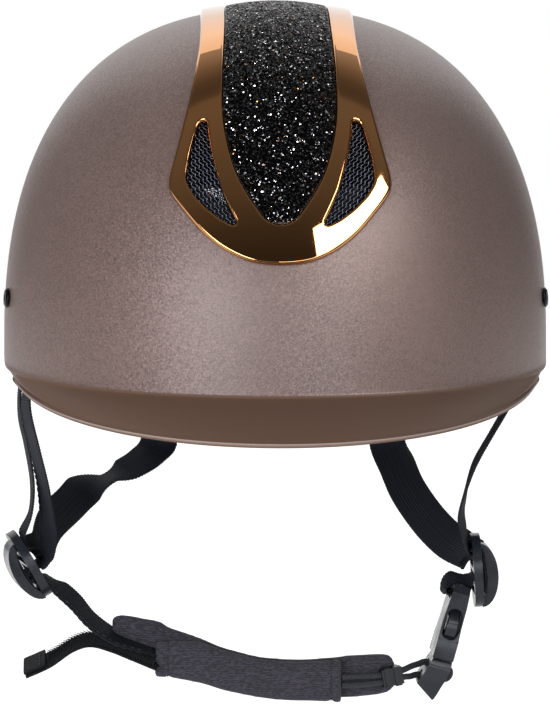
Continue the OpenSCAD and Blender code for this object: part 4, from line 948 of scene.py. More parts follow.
@dataclass(frozen=True)
class FramePlan:
    """Half widths of the frame, the inlay and the vents at heights up the front. The rear mirrors them."""

    frame_edge: tuple[Station, ...] = (
        (60.5, 12.5), (62.5, 17.2), (65, 21.9), (68.4, 26.6), (71.6, 30.2), (78.2, 36), (84.7, 41.2), (87.5, 42.2),
        (91.3, 41.8), (98, 40), (111.3, 36.5), (124.8, 33.4), (138.5, 30.9), (147, 30.2))
    inlay_edge: tuple[Station, ...] = (
        (73.4, 3), (75.6, 5.6), (78.4, 7.6), (81.7, 10), (85, 12.3), (91.5, 15.9), (98, 18.3), (104.8, 20),
        (111.4, 21.1), (118, 21.5), (131.6, 21.4), (145.5, 20.6), (150, 20.4))
    vent_outer: tuple[Station, ...] = (
        (73.4, 17.3), (75.6, 22), (79.5, 27.4), (84.1, 32.1), (88.7, 35.1), (91.4, 35.5), (98, 34.5), (104.7, 32.8),
        (111.8, 30.6))
    vent_inner: tuple[Station, ...] = (
        (73.4, 16), (79.6, 19.1), (86.2, 22.1), (94.1, 24.4), (100.7, 26.1), (107.4, 27.3), (111.8, 27.6))
    tables: dict[str, list[tuple[float, float]]] = field(default_factory=dict)

    def table(self, name: str) -> list[tuple[float, float]]:
        """The half widths of an outline by their angle over the crown."""
        if name not in self.tables:
            self.tables[name] = [(FORM.angle_at(x, z), x) for z, x in getattr(self, name)]
        return self.tables[name]

    def width(self, name: str, a: float) -> float:
        """An outline's half width at an angle, on a smooth curve through its table."""
        rows = self.table(name)
        if a <= rows[0][0]:
            return rows[0][1]
        if a >= rows[-1][0]:
            return rows[-1][1]
        i = max(k for k in range(len(rows) - 1) if rows[k][0] <= a)
        (a0, x0), (a1, x1) = rows[i], rows[i + 1]
        step = a1 - a0
        before = (x1 - x0) / step if i == 0 else (x1 - rows[i - 1][1]) / (a1 - rows[i - 1][0])
        after = (x1 - x0) / step if i + 2 == len(rows) else (rows[i + 2][1] - x0) / (rows[i + 2][0] - a0)
        k = (a - a0) / step
        return (x0 * (1 + 2 * k) * (1 - k) ** 2 + step * before * k * (1 - k) ** 2 + x1 * k * k * (3 - 2 * k)
                + step * after * k * k * (k - 1))

    @property
    def low(self) -> float:
        """Angle of the frame's lower end."""
        return self.table("frame_edge")[0][0]

    @property
    def vent_low(self) -> float:
        """Angle of the vents' lower ends, and of the inlay's."""
        return (self.table("vent_outer")[0][0] + self.table("vent_inner")[0][0]) / 2

    @property
    def vent_high(self) -> float:
        """Angle of the vents' upper ends."""
        return (self.table("vent_outer")[-1][0] + self.table("vent_inner")[-1][0]) / 2

    def frame_half(self, a: float) -> float:
        """The frame's half width."""
        return self.width("frame_edge", min(a, 180 - a))

    def inlay_half(self, a: float) -> float:
        """The inlay's half width, with a round lower tip."""
        f = min(a, 180 - a)
        return max(1.5, self.width("inlay_edge", f) * bow((f - self.vent_low) / 1.2))

    def along(self, name: str, a: float) -> float:
        """An outline's half width at an angle, straight from point to point as a crisp outline has it."""
        rows = self.table(name)
        a = min(max(a, rows[0][0]), rows[-1][0])
        for (a0, x0), (a1, x1) in zip(rows, rows[1:]):
            if a <= a1:
                return mix(x0, x1, (a - a0) / (a1 - a0))
        return rows[-1][1]

    def vent(self, side: int, rear: bool, grow: float = 0.0) -> list[Vector]:
        """A vent's outline.

        Args:
            side: +1 for the wearer's left and -1 for the right.
            rear: Whether it is a rear vent.
            grow: How far the outline is moved out.

        Returns:
            Points with x and the distance over the crown.
        """
        zone = [mix(self.vent_low, self.vent_high, i / 60) for i in range(61)]
        inner = [Vector((self.along("vent_inner", a), a * SPREAD)) for a in zone]
        outer = [Vector((self.along("vent_outer", a), a * SPREAD)) for a in zone]
        loop = shifted(soften(inner + outer[::-1], 0.45, 1.4), -grow)
        return [Vector((side * p.x, 180 * SPREAD - p.y if rear else p.y)) for p in loop]

    def rim(self) -> list[Vector]:
        """The frame's outer outline, with its two ends bowed a little."""
        side = [mix(self.low, 180 - self.low, i / 300) for i in range(301)]
        right = [Vector((self.frame_half(a), a * SPREAD)) for a in side]
        ends = []
        for up in (-1, 1):
            base = (self.low if up < 0 else 180 - self.low) * SPREAD
            half = right[0].x
            ends.append([Vector((half * k / 12 * -up, base + up * 1.7 * (1 - (k / 12) ** 2))) for k in range(-11, 12)])
        left = [Vector((-p.x, p.y)) for p in right[::-1]]
        return soften(ends[0] + right + ends[1] + left, 1.0, 3.0)

    def hole(self) -> list[Vector]:
        """The outline of the inlay's opening."""
        reach = [mix(self.vent_low + 0.04, 180 - self.vent_low - 0.04, i / 300) for i in range(301)]
        right = [Vector((self.inlay_half(a), a * SPREAD)) for a in reach]
        left = [Vector((-p.x, p.y)) for p in right[::-1]]
        return soften(right + left, 1.0, 1.6)


FRAME_PLAN = FramePlan()


@dataclass
class CrownFrame:
    """The plated frame over the crown, the glitter inlay in it and the nets in its four vents."""

    rise: float = 2.2
    seat: float = 0.55
    bevel: float = 1.2
    inlay_rise: float = 3.1
    chip: float = 0.34
    wire_d: float = 0.52
    wire_pitch: float = 1.45
    net_low: float = -0.4
    net_lap: float = 0.8
    net_start: float = 13
    net_end: float = 40
    net_spine: float = 26
    slant: float = 0.8

    def build(self) -> None:
        """Makes the frame, the inlay and the nets."""
        self.frame_piece()
        self.inlay()
        for rear in (False, True):
            for side in (1, -1):
                self.net(side, rear)

    def frame_piece(self) -> None:
        """Rounds the rims of every outline, fills what lies between them and bends the plate over the crown."""
        plan, b = FRAME_PLAN, self.bevel
        turns = [0.0] + [math.radians(18 * k) for k in range(6)]
        levels = [(b * (1 - math.cos(t)), self.rise - b * (1 - math.sin(t))) for t in turns]
        levels[0] = (0.0, self.seat)
        loops = [(plan.rim(), 1), (plan.hole(), -1)]
        loops += [(soften(plan.vent(side, rear), 0.7, 0.8), -1) for side in (1, -1) for rear in (False, True)]
        bm = bmesh.new()
        for axis in ("lean_x", "lean_y"):
            bm.verts.layers.float.new(axis)
        for loop, inward in loops:
            rings = [[(*p, height) for p in shifted(loop, inward * d)] for d, height in levels]
            away = [(q - p) * -inward for p, q in zip(loop, shifted(loop, 1.0))]
            band = Lattice(len(loop), len(levels), Wrap.TUBE).warp(lambda r, c: Vector(rings[r][c]) / MM)
            band.mark("lean_x", lambda r, c: away[c].x * math.cos(turns[r]))
            band.mark("lean_y", lambda r, c: away[c].y * math.cos(turns[r]))
            draft = mesh_from(band.bm, "rim")
            bm.from_mesh(draft)
            bpy.data.meshes.remove(draft)
        for height in (self.seat, self.rise):
            rim = [e for e in bm.edges if e.is_boundary and abs(e.verts[0].co.z - height) < 0.001
                   and abs(e.verts[1].co.z - height) < 0.001]
            bmesh.ops.triangle_fill(bm, edges=rim, use_beauty=True, normal=(0, 0, 1))
        low, high = plan.low * SPREAD, (180 - plan.low) * SPREAD
        cuts = [((2.8 * i, 0, 0), (1, 0, 0)) for i in range(-15, 16)]
        cuts += [((0, mix(low, high, i / 90), 0), (0, 1, 0)) for i in range(91)]
        for spot, normal in cuts:
            bmesh.ops.bisect_plane(bm, geom=bm.verts[:] + bm.edges[:] + bm.faces[:], plane_co=spot, plane_no=normal,
                                   dist=0.0001)
        bmesh.ops.remove_doubles(bm, verts=bm.verts, dist=0.001)
        lean = [bm.verts.layers.float[axis] for axis in ("lean_x", "lean_y")]
        normals = []
        for v in bm.verts:
            a, x, height = v.co.y / SPREAD, v.co.x, v.co.z
            v.co = FORM.over(a, x, height)
            across = (FORM.over(a, x + 0.1, height) - v.co).normalized()
            along = (FORM.over(a + 0.1, x, height) - v.co).normalized()
            up = across.cross(along).normalized()
            side = across * v[lean[0]] + along * v[lean[1]]
            normals.append((side + up * math.sqrt(max(0.0, 1 - side.length_squared))).normalized())
            v.co *= MM
        piece = publish(bm, "plated_frame", AMBER_CHROME, "helmet", ("vent_frame",), crisp=180)
        piece.data.normals_split_custom_set_from_vertices(normals)

    def inlay(self) -> None:
        """Makes the crowned inlay as a bed of small tilted chips."""
        plan = FRAME_PLAN
        low, high = plan.vent_low + 0.2, 180 - plan.vent_low - 0.2
        count, across = 400, 52
        rng = random.Random(7)
        jolt = [[(rng.uniform(-1, 1), rng.uniform(-1, 1), rng.random()) for _ in range(across)] for _ in range(count)]

        def place(r: int, c: int) -> Vector:
            """A chip's corner, jolted off the smooth crown."""
            dx, da, dh = jolt[r][c]
            inside = 0 < r < count - 1 and 0 < c < across - 1
            share = 2 * c / (across - 1) - 1
            a = mix(low, high, r / (count - 1)) + (0.1 * da if inside else 0)
            x = share * (plan.inlay_half(a) - 0.3) + (0.28 * dx if inside else 0)
            height = mix(self.inlay_rise, self.rise - 0.3, share * share) - 0.5 * self.chip + self.chip * dh * inside
            return FORM.over(a, x, height)

        lattice = Lattice(across, count, Wrap.SHEET).warp(place)
        bmesh.ops.triangulate(lattice.bm, faces=lattice.bm.faces, quad_method="SHORT_EDGE")
        piece = publish(lattice.bm, "glitter_inlay", GLITTER, "helmet", ("crown_inlay",), crisp=0)
        wall = piece.modifiers.new("backing", "SOLIDIFY")
        wall.thickness, wall.offset = 1.2 * MM, -1.0

    def net(self, side: int, rear: bool) -> None:
        """Weaves one net from two sets of wires that pass over and under each other.

        Args:
            side: +1 for the wearer's left and -1 for the right.
            rear: Whether it is one of the two rear nets.
        """
        plan = FRAME_PLAN
        steps = 160
        angles = [mix(plan.vent_low - 0.35, plan.vent_high + 0.35, i / steps) for i in range(steps + 1)]
        run = running([FORM.over(a, self.net_spine, 0) for a in angles])

        def limits(a: float) -> tuple[float, float]:
            """The net's sides at an angle, with their lap under the frame."""
            return plan.along("vent_inner", a) - self.net_lap, plan.along("vent_outer", a) + self.net_lap

        def angle(s: float) -> float:
            """The angle over the crown at a distance up the net."""
            k = max(0.0, min(s / run[-1], 1.0)) * steps
            low = min(int(k), steps - 1)
            while low > 0 and run[low] > s:
                low -= 1
            while low < steps - 1 and run[low + 1] < s:
                low += 1
            return mix(angles[low], angles[low + 1], (s - run[low]) / (run[low + 1] - run[low]))

        lines: list[list[Vector]] = []
        half_wave = 0.5 * self.wire_d
        for family in (0, 1):
            for i in range(-60, 80):
                line: list[Vector] = []
                for j in range(0, 900):
                    if family == 0:
                        x, s = self.net_start + i * self.wire_pitch, j * self.wire_pitch / 3
                        cross = (s - self.slant * x) / self.wire_pitch
                    else:
                        x = self.net_start - 1 + j * self.wire_pitch / 3
                        s = self.slant * x + i * self.wire_pitch
                        cross = (x - self.net_start) / self.wire_pitch
                    if not 0 <= s <= run[-1] or x > self.net_end:
                        if line:
                            break
                        continue
                    a = angle(s)
                    near, far = limits(a)
                    if not near <= x <= far:
                        if line:
                            break
                        continue
                    lift = half_wave * math.cos(math.pi * (cross + i)) * (1 if family == 0 else -1)
                    line.append(FORM.over(180 - a if rear else a, side * x, self.net_low + lift))
                if len(line) > 1:
                    lines.append(line)
        shape = bpy.data.curves.new("net", "CURVE")
        shape.dimensions, shape.fill_mode = "3D", "FULL"
        shape.bevel_depth, shape.bevel_resolution = self.wire_d / 2 * MM, 1
        shape.use_fill_caps = True
        for line in lines:
            wire = shape.splines.new("POLY")
            wire.points.add(len(line) - 1)
            for point, spot in zip(wire.points, line):
                point.co = (*(spot * MM), 1)
        draft = add_object("net_draft", shape)
        graph = bpy.context.evaluated_depsgraph_get()
        mesh = bpy.data.meshes.new_from_object(draft.evaluated_get(graph), depsgraph=graph)
        bm = bmesh.new()
        bm.from_mesh(mesh)
        bpy.data.objects.remove(draft)
        end, hand = "rear" if rear else "front", "left" if side > 0 else "right"
        publish(bm, f"woven_net_{end}_{hand}", NET_WIRE, "helmet", (f"{end}_mesh_{hand}",), crisp=80)


# Straps


FACE = 1.8
LEFT_DIVIDER = Vector((82.1, -6, -70.5))
LEFT_TILT = -3.6
RIGHT_DIVIDER = Vector((-100.3, -8, -67.3))
RIGHT_TILT, RIGHT_TURN = -30, 12
BUCKLE = Vector((67.4, -9.5, -105.4))
BUCKLE_TILT = 15.7


def web_on(side: int, point: Sequence[float]) -> Station:
    """A strap's station in a divider's own frame."""
    if side > 0:
        return (*(LEFT_DIVIDER + turn_y(point, LEFT_TILT)), 0.0, 1.0, 0.0)
    spot = RIGHT_DIVIDER + turn_z(turn_y((-point[0], point[1], point[2]), RIGHT_TILT), RIGHT_TURN)
    return (*spot, *turn_z((0, 1, 0), RIGHT_TURN))


def on_buckle(point: Sequence[float]) -> Vector:
    """A point in the buckle's own frame, with +Z up into the socket."""
    return BUCKLE + turn_y(point, BUCKLE_TILT)


def strap_root(side: int) -> list[Station]:
    """The hidden top of a front strap, from its anchor to the shell's edge."""
    return [(side * x, y, z, side * 0.2, 0.98, 0) for x, y, z in (
        (101.7, -30, 28), (100.4, -30.3, 19), (98.6, -30.6, 11), (97.6, -30.6, 5))]


def rear_root(side: int) -> list[Station]:
    """The top of a rear strap, from its anchor in the liner's lower face."""
    return [(side * x, y, z, side * 0.9, -0.44, 0) for x, y, z in (
        (51.6, 102.6, -1.4), (50, 99, -2), (48.9, 96.2, -4.5), (48.6, 95.2, -9))]


RIGHT_FRONT = strap_root(-1)[:3] + [
    (-99.6, -30.4, 5, -0.22, 0.97, 0), (-99.6, -30.6, -4, -0.28, 0.96, 0), (-96.2, -28, -20, -0.3, 0.95, 0),
    (-93.5, -22.8, -34, -0.32, 0.95, 0), (-92, -17, -48, -0.38, 0.92, 0), (-92.1, -12.8, -56, -0.42, 0.91, 0),
    (-92.8, -10.8, -61.6, -0.4, 0.92, 0), (-94, -9.8, -65.3, -0.21, 0.98, 0)] + [web_on(-1, p) for p in (
        (-3.2, -1.4, -1.1), (0, -1.6, -1.7), (FACE + 0.6, -1.6, -1.9), (2.45, -1.6, -3.4))]
LEFT_FRONT = strap_root(1) + [
    (92, -29, -3, 0, 1, 0), (86, -27, -13.5, 0, 1, 0), (79.8, -24, -25.5, 0, 1, 0), (76.6, -19.5, -36.5, 0.1, 1, 0),
    (75.4, -14.5, -46, 0.2, 0.97, 0), (77, -9.8, -54.5, 0.14, 0.98, 0)] + [web_on(1, p) for p in (
        (-2.8, 0, 9.6), (0, 0, 9), (FACE + 0.6, 0, 8.5), (2.9, 0, 6.4), (3, 0, 3), (3, 0, -2), (2.9, 0, -9))]
RIGHT_RETURN = [
    (-102, -15.6, 12, -0.1, 1, 0), (-103.3, -15, 2, -0.12, 1, 0), (-102.8, -14.2, -8.3, -0.18, 1, 0),
    (-100.7, -13.4, -18.4, -0.18, 1, 0), (-98.4, -13.3, -33.4, -0.16, 1, 0), (-99.1, -12.4, -45.5, -0.12, 1, 0)] + [
        web_on(-1, p) for p in ((-4.5, -1, 12.5), (-FACE - 0.8, 0, 9.6), (0, 0, 9), (FACE + 0.8, 0, 8.5),
                                (3.3, 0, 6.4), (3.6, 0, 3), (3.6, 0, -3), (3.3, 0, -9.3))]
RIGHT_REAR = rear_root(-1) + [
    (-48.5, 94, -26.5, -0.98, -0.05, 0.1), (-54, 83, -32.8, -0.92, 0.3, 0.25), (-61.2, 71.6, -36.5, -0.8, 0.52, 0.3),
    (-70, 68, -40.5, -0.3, 0.93, 0.12), (-80, 63, -44.7, -0.5, 0.5, 0.7), (-85.8, 45, -49, -0.53, -0.05, 0.85),
    (-92.8, 20, -54.5, -0.35, 0.2, 0.9), (-96.4, 6, -63.4, -0.15, 0.35, 0.93)] + [
        web_on(-1, p) for p in ((-3, 4.4, 4.2), (0, 4.4, 3.5), (FACE + 0.6, 4.4, 3.4))]
LEFT_REAR = rear_root(1) + [
    (50.3, 94, -27.5, 0.98, 0.1, 0.15), (54, 80, -36.5, 0.85, 0.15, 0.45), (57.6, 59, -45, 0.78, 0.1, 0.58),
    (64.7, 37, -54.6, 0.74, 0, 0.67), (71.7, 18, -60.8, 0.62, 0.04, 0.78), (77.3, 4.5, -63, 0.3, -0.1, 0.93),
    (80.2, 1, -64.5, 0.25, -0.1, 0.93)] + [
        web_on(1, p) for p in ((0, 3.6, 3.5), (FACE - 0.4, 3.6, 3.4))]
CHIN_STRAP = [web_on(-1, p) for p in (
    (2.45, 0, -4.8), (FACE + 0.6, 0, -6.7), (0, 0, -7.4), (-3.4, 0, -8.3))] + [
        (-88.4, -8.4, -76.5, 0.05, 0.95, 0.26), (-81.6, -10, -82.5, 0.1, 0.94, 0.3),
        (-75.6, -11.6, -89.2, 0.1, 0.95, 0.25), (-69, -13.2, -94.2, 0.05, 0.95, 0.25),
        (-61, -14.6, -98.6, 0, 0.95, 0.25), (-48.2, -15.8, -103, 0, 0.93, 0.3)]
HOOK_TAIL = [
    (-46.8, -15.5, -106.9, 0, 0.93, 0.3), (-57.4, -14.4, -103, 0, 0.95, 0.25), (-66.6, -13.4, -99.8, 0, 0.95, 0.2),
    (-74.7, -12.6, -97.9, 0.05, 0.95, 0.2), (-81.6, -12, -99.8, 0.1, 0.93, 0.25),
    (-90.9, -11.2, -105.8, 0.1, 0.92, 0.3), (-101.4, -10.5, -110.6, 0.1, 0.92, 0.3)]
BUCKLE_STRAP = [web_on(1, p) for p in ((FACE - 0.4, 0, -1.5), (0, 0, -1.5), (-FACE - 1, 0, -2.2))] + [
    (75.4, -7.2, -74.9, 0.12, 0.8, 0.58), (71.8, -8.4, -76.8, 0.12, 0.86, 0.48),
    (69.7, -9.2, -78.3, 0.05, 0.99, 0.1)] + [
        (*on_buckle(p), 0, 1, 0) for p in ((-4.4, 0, 25.9), (-2.6, 0, 26.2), (2.8, 0, 26.2))]


@dataclass
class Strap:
    """One length of ribbed webbing that follows its stations."""

    name: str
    node: str
    stations: list[Station]
    width: float = 16.0
    thick: float = 1.3
    gather: float = 1.0
    gather_over: tuple[float, float] = (5.0, 2.0)
    rib: float = 1.1
    rib_height: float = 0.2
    finish: Finish = WEB
    around: int = 26
    body: str | None = "helmet"
    slot: str = "webbing"

    def __post_init__(self) -> None:
        """Measures the path."""
        self.path = [Vector(s[:3]) for s in self.stations]
        self.sides = [Vector(s[3:]) for s in self.stations]
        self.last = len(self.path) - 1
        fine = self.last * 24
        self.marks = [self.last * i / fine for i in range(fine + 1)]
        self.run = running([curve(self.path, s) for s in self.marks])

    @property
    def length(self) -> float:
        """Length of the strap in millimetres."""
        return self.run[-1]

    def at(self, distance: float) -> tuple[Vector, Vector, Vector, float]:
        """The strap's middle, width direction, face direction and half width at a distance along it."""
        i = 0
        low, high = 0, len(self.run) - 1
        while high - low > 1:
            i = (low + high) // 2
            if self.run[i] <= distance:
                low = i
            else:
                high = i
        k = (distance - self.run[low]) / max(1e-9, self.run[low + 1] - self.run[low])
        s = mix(self.marks[low], self.marks[low + 1], k)
        middle = curve(self.path, s)
        along = (curve(self.path, min(s + 0.05, self.last)) - curve(self.path, max(s - 0.05, 0))).normalized()
        side = curve(self.sides, s)
        side = (side - along * along.dot(side)).normalized()
        start, end = self.gather_over
        half = self.width / 2 * mix(1, self.gather, smooth(self.last - start, self.last - end, s))
        return middle, side, along.cross(side), half

    def point(self, distance: float, across: float, up: float) -> Vector:
        """A point on or over the strap, with across from -1 to 1."""
        middle, side, face, half = self.at(distance)
        return middle + side * across * half + face * up

    def build(self) -> Thing:
        """Draws the section along the path, with a rib every so often."""
        per_rib = 4
        rows = max(8, int(self.length / self.rib * per_rib)) + 1
        frames = [self.at(self.length * r / (rows - 1)) for r in range(rows)]
        noise_of = [0.1 * noise.noise(Vector((r * 0.21, len(self.name), 0))) for r in range(rows)]
        section = []
        for c in range(self.around):
            angle = math.tau * c / self.around
            section.append((power_sign(math.cos(angle), 0.45), power_sign(math.sin(angle), 0.4)))

        def place(r: int, c: int) -> Vector:
            """A point of the ribbed section."""
            middle, side, face, half = frames[r]
            x, y = section[c]
            rib = self.rib_height * (0.5 + 0.5 * math.cos(math.tau * r / per_rib))
            edge = 0.34 * abs(x) ** 8 * (0.5 + 0.5 * math.cos(math.tau * r / per_rib))
            height = self.thick / 2 - self.rib_height + rib
            return middle + side * (x * (half - 0.2 + edge) + noise_of[r]) + face * (y * height)

        lattice = Lattice(self.around, rows, Wrap.TUBE).warp(place)
        steps = [self.length * r / (rows - 1) * MM for r in range(rows)]
        width = [self.width / 2 * math.cos(math.tau * c / self.around) * MM for c in range(self.around + 1)]
        lattice.map(steps, width)
        lattice.close()
        return publish(lattice.bm, self.name, self.finish, self.body, (self.node,), crisp=50)


def stitch_row(name: str, spots: Iterable[tuple[Vector, Vector]], finish: Finish, body: str,
               length: float = 2.2, thick: float = 0.42) -> Thing:
    """Sews a row of stitches.

    Args:
        name: The piece's name.
        spots: The middle of each stitch and the direction of its thread.
        finish: The thread's finish.
        body: The body that carries it.
        length: Length of a stitch in millimetres.
        thick: Thickness of the thread in millimetres.

    Returns:
        The stitches as one piece.
    """
    bm = bmesh.new()
    for middle, along in spots:
        turn = along.to_track_quat("Z", "Y").to_matrix().to_4x4()
        size = Matrix.Diagonal((thick / 2 * MM, thick / 2 * MM, length / 2 * MM, 1))
        bmesh.ops.create_icosphere(bm, subdivisions=1, radius=1, matrix=Matrix.Translation(middle * MM) @ turn @ size)
    return publish(bm, name, finish, body, crisp=80)


@dataclass
class Harness:
    """The straps, their dividers and the anchors."""

    stitch_gap: float = 2.9
    arch_x: float = 1.3
    arch_z: float = -1.5
    arch_half_x: float = 4.9
    arch_half_z: float = 10.8
    hook_pitch: float = 1.15
    hook_rise: float = 1.2
    hook_lean: float = 0.9
    hooks_across: int = 8
    fold: float = 9.5

    def build(self) -> None:
        """Makes every strap with its stitching, and the plates that they run through."""
        straps = [
            Strap("front_web_left", "front_strap_left", LEFT_FRONT),
            Strap("front_web_right", "front_strap_right", RIGHT_FRONT, gather=0.72),
            Strap("return_web_right", "return_strap_right", RIGHT_RETURN, width=13.0),
            Strap("rear_web_left", "rear_strap_left", LEFT_REAR, gather=0.55, gather_over=(1.8, 1.2)),
            Strap("rear_web_right", "rear_strap_right", RIGHT_REAR, gather=0.55, gather_over=(2.4, 1.6)),
            Strap("chin_web", "chin_strap", CHIN_STRAP, gather=0.42, gather_over=(1.6, 0.2)),
            Strap("buckle_web", "buckle_strap", BUCKLE_STRAP)]
        for strap in straps:
            strap.build()
        self.sew("chin_web_stitches", straps[5], 8, straps[5].length - 4, (-0.86,), THREAD)
        self.sew("front_web_stitches", straps[1], 34, straps[1].length - 12, (0.86,), THREAD)
        for side in ("left", "right"):
            self.divider(side)
            node_copy((f"rear_anchor_{side}",), f"rear_clip_{side}", BLACK_PLASTIC, "helmet", 0.3)
        self.hook_tail()

    def divider(self, side: str) -> None:
        """Copies a divider and thickens its arch inward, so that it closes on the webbing in it."""
        if side == "left":
            solid = Matrix.Translation((0.083, -0.006, -0.0705)) @ Matrix.Rotation(math.radians(1.4), 4, "Y")
            place = Matrix.Translation(LEFT_DIVIDER * MM) @ Matrix.Rotation(math.radians(LEFT_TILT), 4, "Y")
            close = 0.52
        else:
            turn = (Matrix.Rotation(math.radians(RIGHT_TURN), 4, "Z")
                    @ Matrix.Rotation(math.radians(RIGHT_TILT), 4, "Y"))
            solid = place = Matrix.Translation(RIGHT_DIVIDER * MM) @ turn @ Matrix.Diagonal((-1, 1, 1, 1))
            close = 0.63

        def thicken(bm: BMesh) -> None:
            """Moves the arch's inner face towards the plate."""
            bmesh.ops.transform(bm, matrix=solid.inverted(), verts=bm.verts)
            for v in bm.verts:
                x, z = v.co.x / MM, v.co.z / MM
                reach = math.hypot((x - self.arch_x) / self.arch_half_x, (z - self.arch_z) / self.arch_half_z)
                if x > FACE + 0.2 and reach < 1.03:
                    v.co.x, v.co.z = mix(self.arch_x, x, close) * MM, mix(self.arch_z, z, 0.9) * MM
            bmesh.ops.transform(bm, matrix=place, verts=bm.verts)

        node_copy((f"divider_{side}",), f"strap_divider_{side}", SLATE_PLASTIC, "helmet", 0.5, 3,
                  form=thicken)

    def sew(self, name: str, strap: Strap, start: float, end: float, lines: Sequence[float], thread: Finish) -> None:
        """Sews rows of stitches along a strap, on both faces."""
        spots = []
        count = int((end - start) / self.stitch_gap)
        for across in lines:
            for i in range(count):
                distance = start + i * self.stitch_gap
                for face in (1, -1):
                    here = strap.point(distance, across, face * (strap.thick / 2 + 0.05))
                    there = strap.point(distance + 0.5, across, face * (strap.thick / 2 + 0.05))
                    spots.append((here, (there - here).normalized()))
        stitch_row(name, spots, thread, "helmet")

    def hook_tail(self) -> None:
        """Makes the tail of hook tape with its folded end and its rows of hooks."""
        tail = Strap("hook_tape", "hook_tail", HOOK_TAIL, thick=1.5, rib=0.8, rib_height=0.08, finish=HOOK_TAPE)
        tail.build()
        self.hooks(tail)
        self.folded_end(tail)

    def hooks(self, tail: Strap) -> None:
        """Sets small bent hooks in rows on the tape's upper face."""
        start, end = 2.0, tail.length - self.fold
        bm = bmesh.new()
        for i in range(int((end - start) / self.hook_pitch)):
            for j in range(self.hooks_across):
                distance, across = start + i * self.hook_pitch, (j - (self.hooks_across - 1) / 2) / 4.3
                root = tail.point(distance, across, -tail.thick / 2)
                tip = tail.point(distance + self.hook_lean, across, -tail.thick / 2 - self.hook_rise)
                along = tip - root
                turn = along.to_track_quat("Z", "Y").to_matrix().to_4x4()
                spot = Matrix.Translation((root + along / 2) * MM) @ turn
                bmesh.ops.create_cone(bm, cap_ends=True, segments=5, radius1=0.24 * MM, radius2=0.13 * MM,
                                      depth=along.length * MM, matrix=spot)
        publish(bm, "hook_rows", HOOKS, "helmet", crisp=50)

    def folded_end(self, tail: Strap) -> None:
        """Folds the tape's end back on itself and sews it down."""
        stations = []
        for i in range(7):
            distance = tail.length - self.fold + self.fold * i / 6
            middle, side, face, _ = tail.at(distance)
            stations.append((*(middle - face * 1.72), *side))
        flap = Strap("hook_tape_flap", "hook_tail", stations, thick=1.5, rib=0.8, rib_height=0.08, finish=HOOK_TAPE)
        flap.build()
        spots = []
        for distance in (2.2, self.fold - 2.6):
            for j in range(5):
                here = flap.point(distance, (j - 2) / 2.6, -flap.thick / 2 - 0.08)
                spots.append((here, flap.at(distance)[1]))
        stitch_row("hook_tape_stitches", spots, THREAD, "helmet", 2.4, 0.5)


# Padding


def inflate(piece: Thing, voxel: float, pressure: float, cap: float, frames: int = 20) -> None:
    """Puffs a closed cover up with a cloth simulation, and keeps the result as the piece's mesh.

    Args:
        piece: The piece, whose mesh is replaced.
        voxel: Size of the new mesh's faces in millimetres.
        pressure: Pressure inside.
        cap: The most that a point may move, in millimetres.
        frames: Simulated frames.
    """
    remesh = piece.modifiers.new("even faces", "REMESH")
    remesh.mode, remesh.voxel_size, remesh.use_smooth_shade = "VOXEL", voxel * MM, True
    settle(piece)
    before = [v.co.copy() for v in piece.data.vertices]
    cloth = piece.modifiers.new("cover", "CLOTH")
    cloth.settings.use_pressure, cloth.settings.uniform_pressure_force = True, pressure
    cloth.settings.effector_weights.gravity = 0
    cloth.settings.quality = 5
    cloth.point_cache.frame_start, cloth.point_cache.frame_end = 1, frames
    scene = bpy.context.scene
    for number in range(1, frames + 1):
        scene.frame_set(number)
    settle(piece)
    scene.frame_set(1)
    for v, start in zip(piece.data.vertices, before):
        move = v.co - start
        if move.length > cap * MM:
            v.co = start + move.normalized() * cap * MM
    bm = bmesh.new()
    bm.from_mesh(piece.data)
    bmesh.ops.smooth_vert(bm, verts=bm.verts, factor=0.5, use_axis_x=True, use_axis_y=True, use_axis_z=True)
    bm.to_mesh(piece.data)
    bm.free()
    for polygon in piece.data.polygons:
        polygon.use_smooth = True


def subdivide(piece: Thing, levels: int = 1) -> None:
    """Adds a subdivision surface and applies it."""
    step = piece.modifiers.new("round", "SUBSURF")
    step.levels = step.render_levels = levels
    settle(piece)


def sink(piece: Thing, depth: Callable[[Vector], float]) -> None:
    """Presses seams into a puffed piece: each point goes in along its normal by the depth given in millimetres."""
    mesh = piece.data
    normals = [v.normal.copy() for v in mesh.vertices]
    for v, normal in zip(mesh.vertices, normals):
        v.co -= normal * depth(v.co / MM) * MM
    mesh.update()


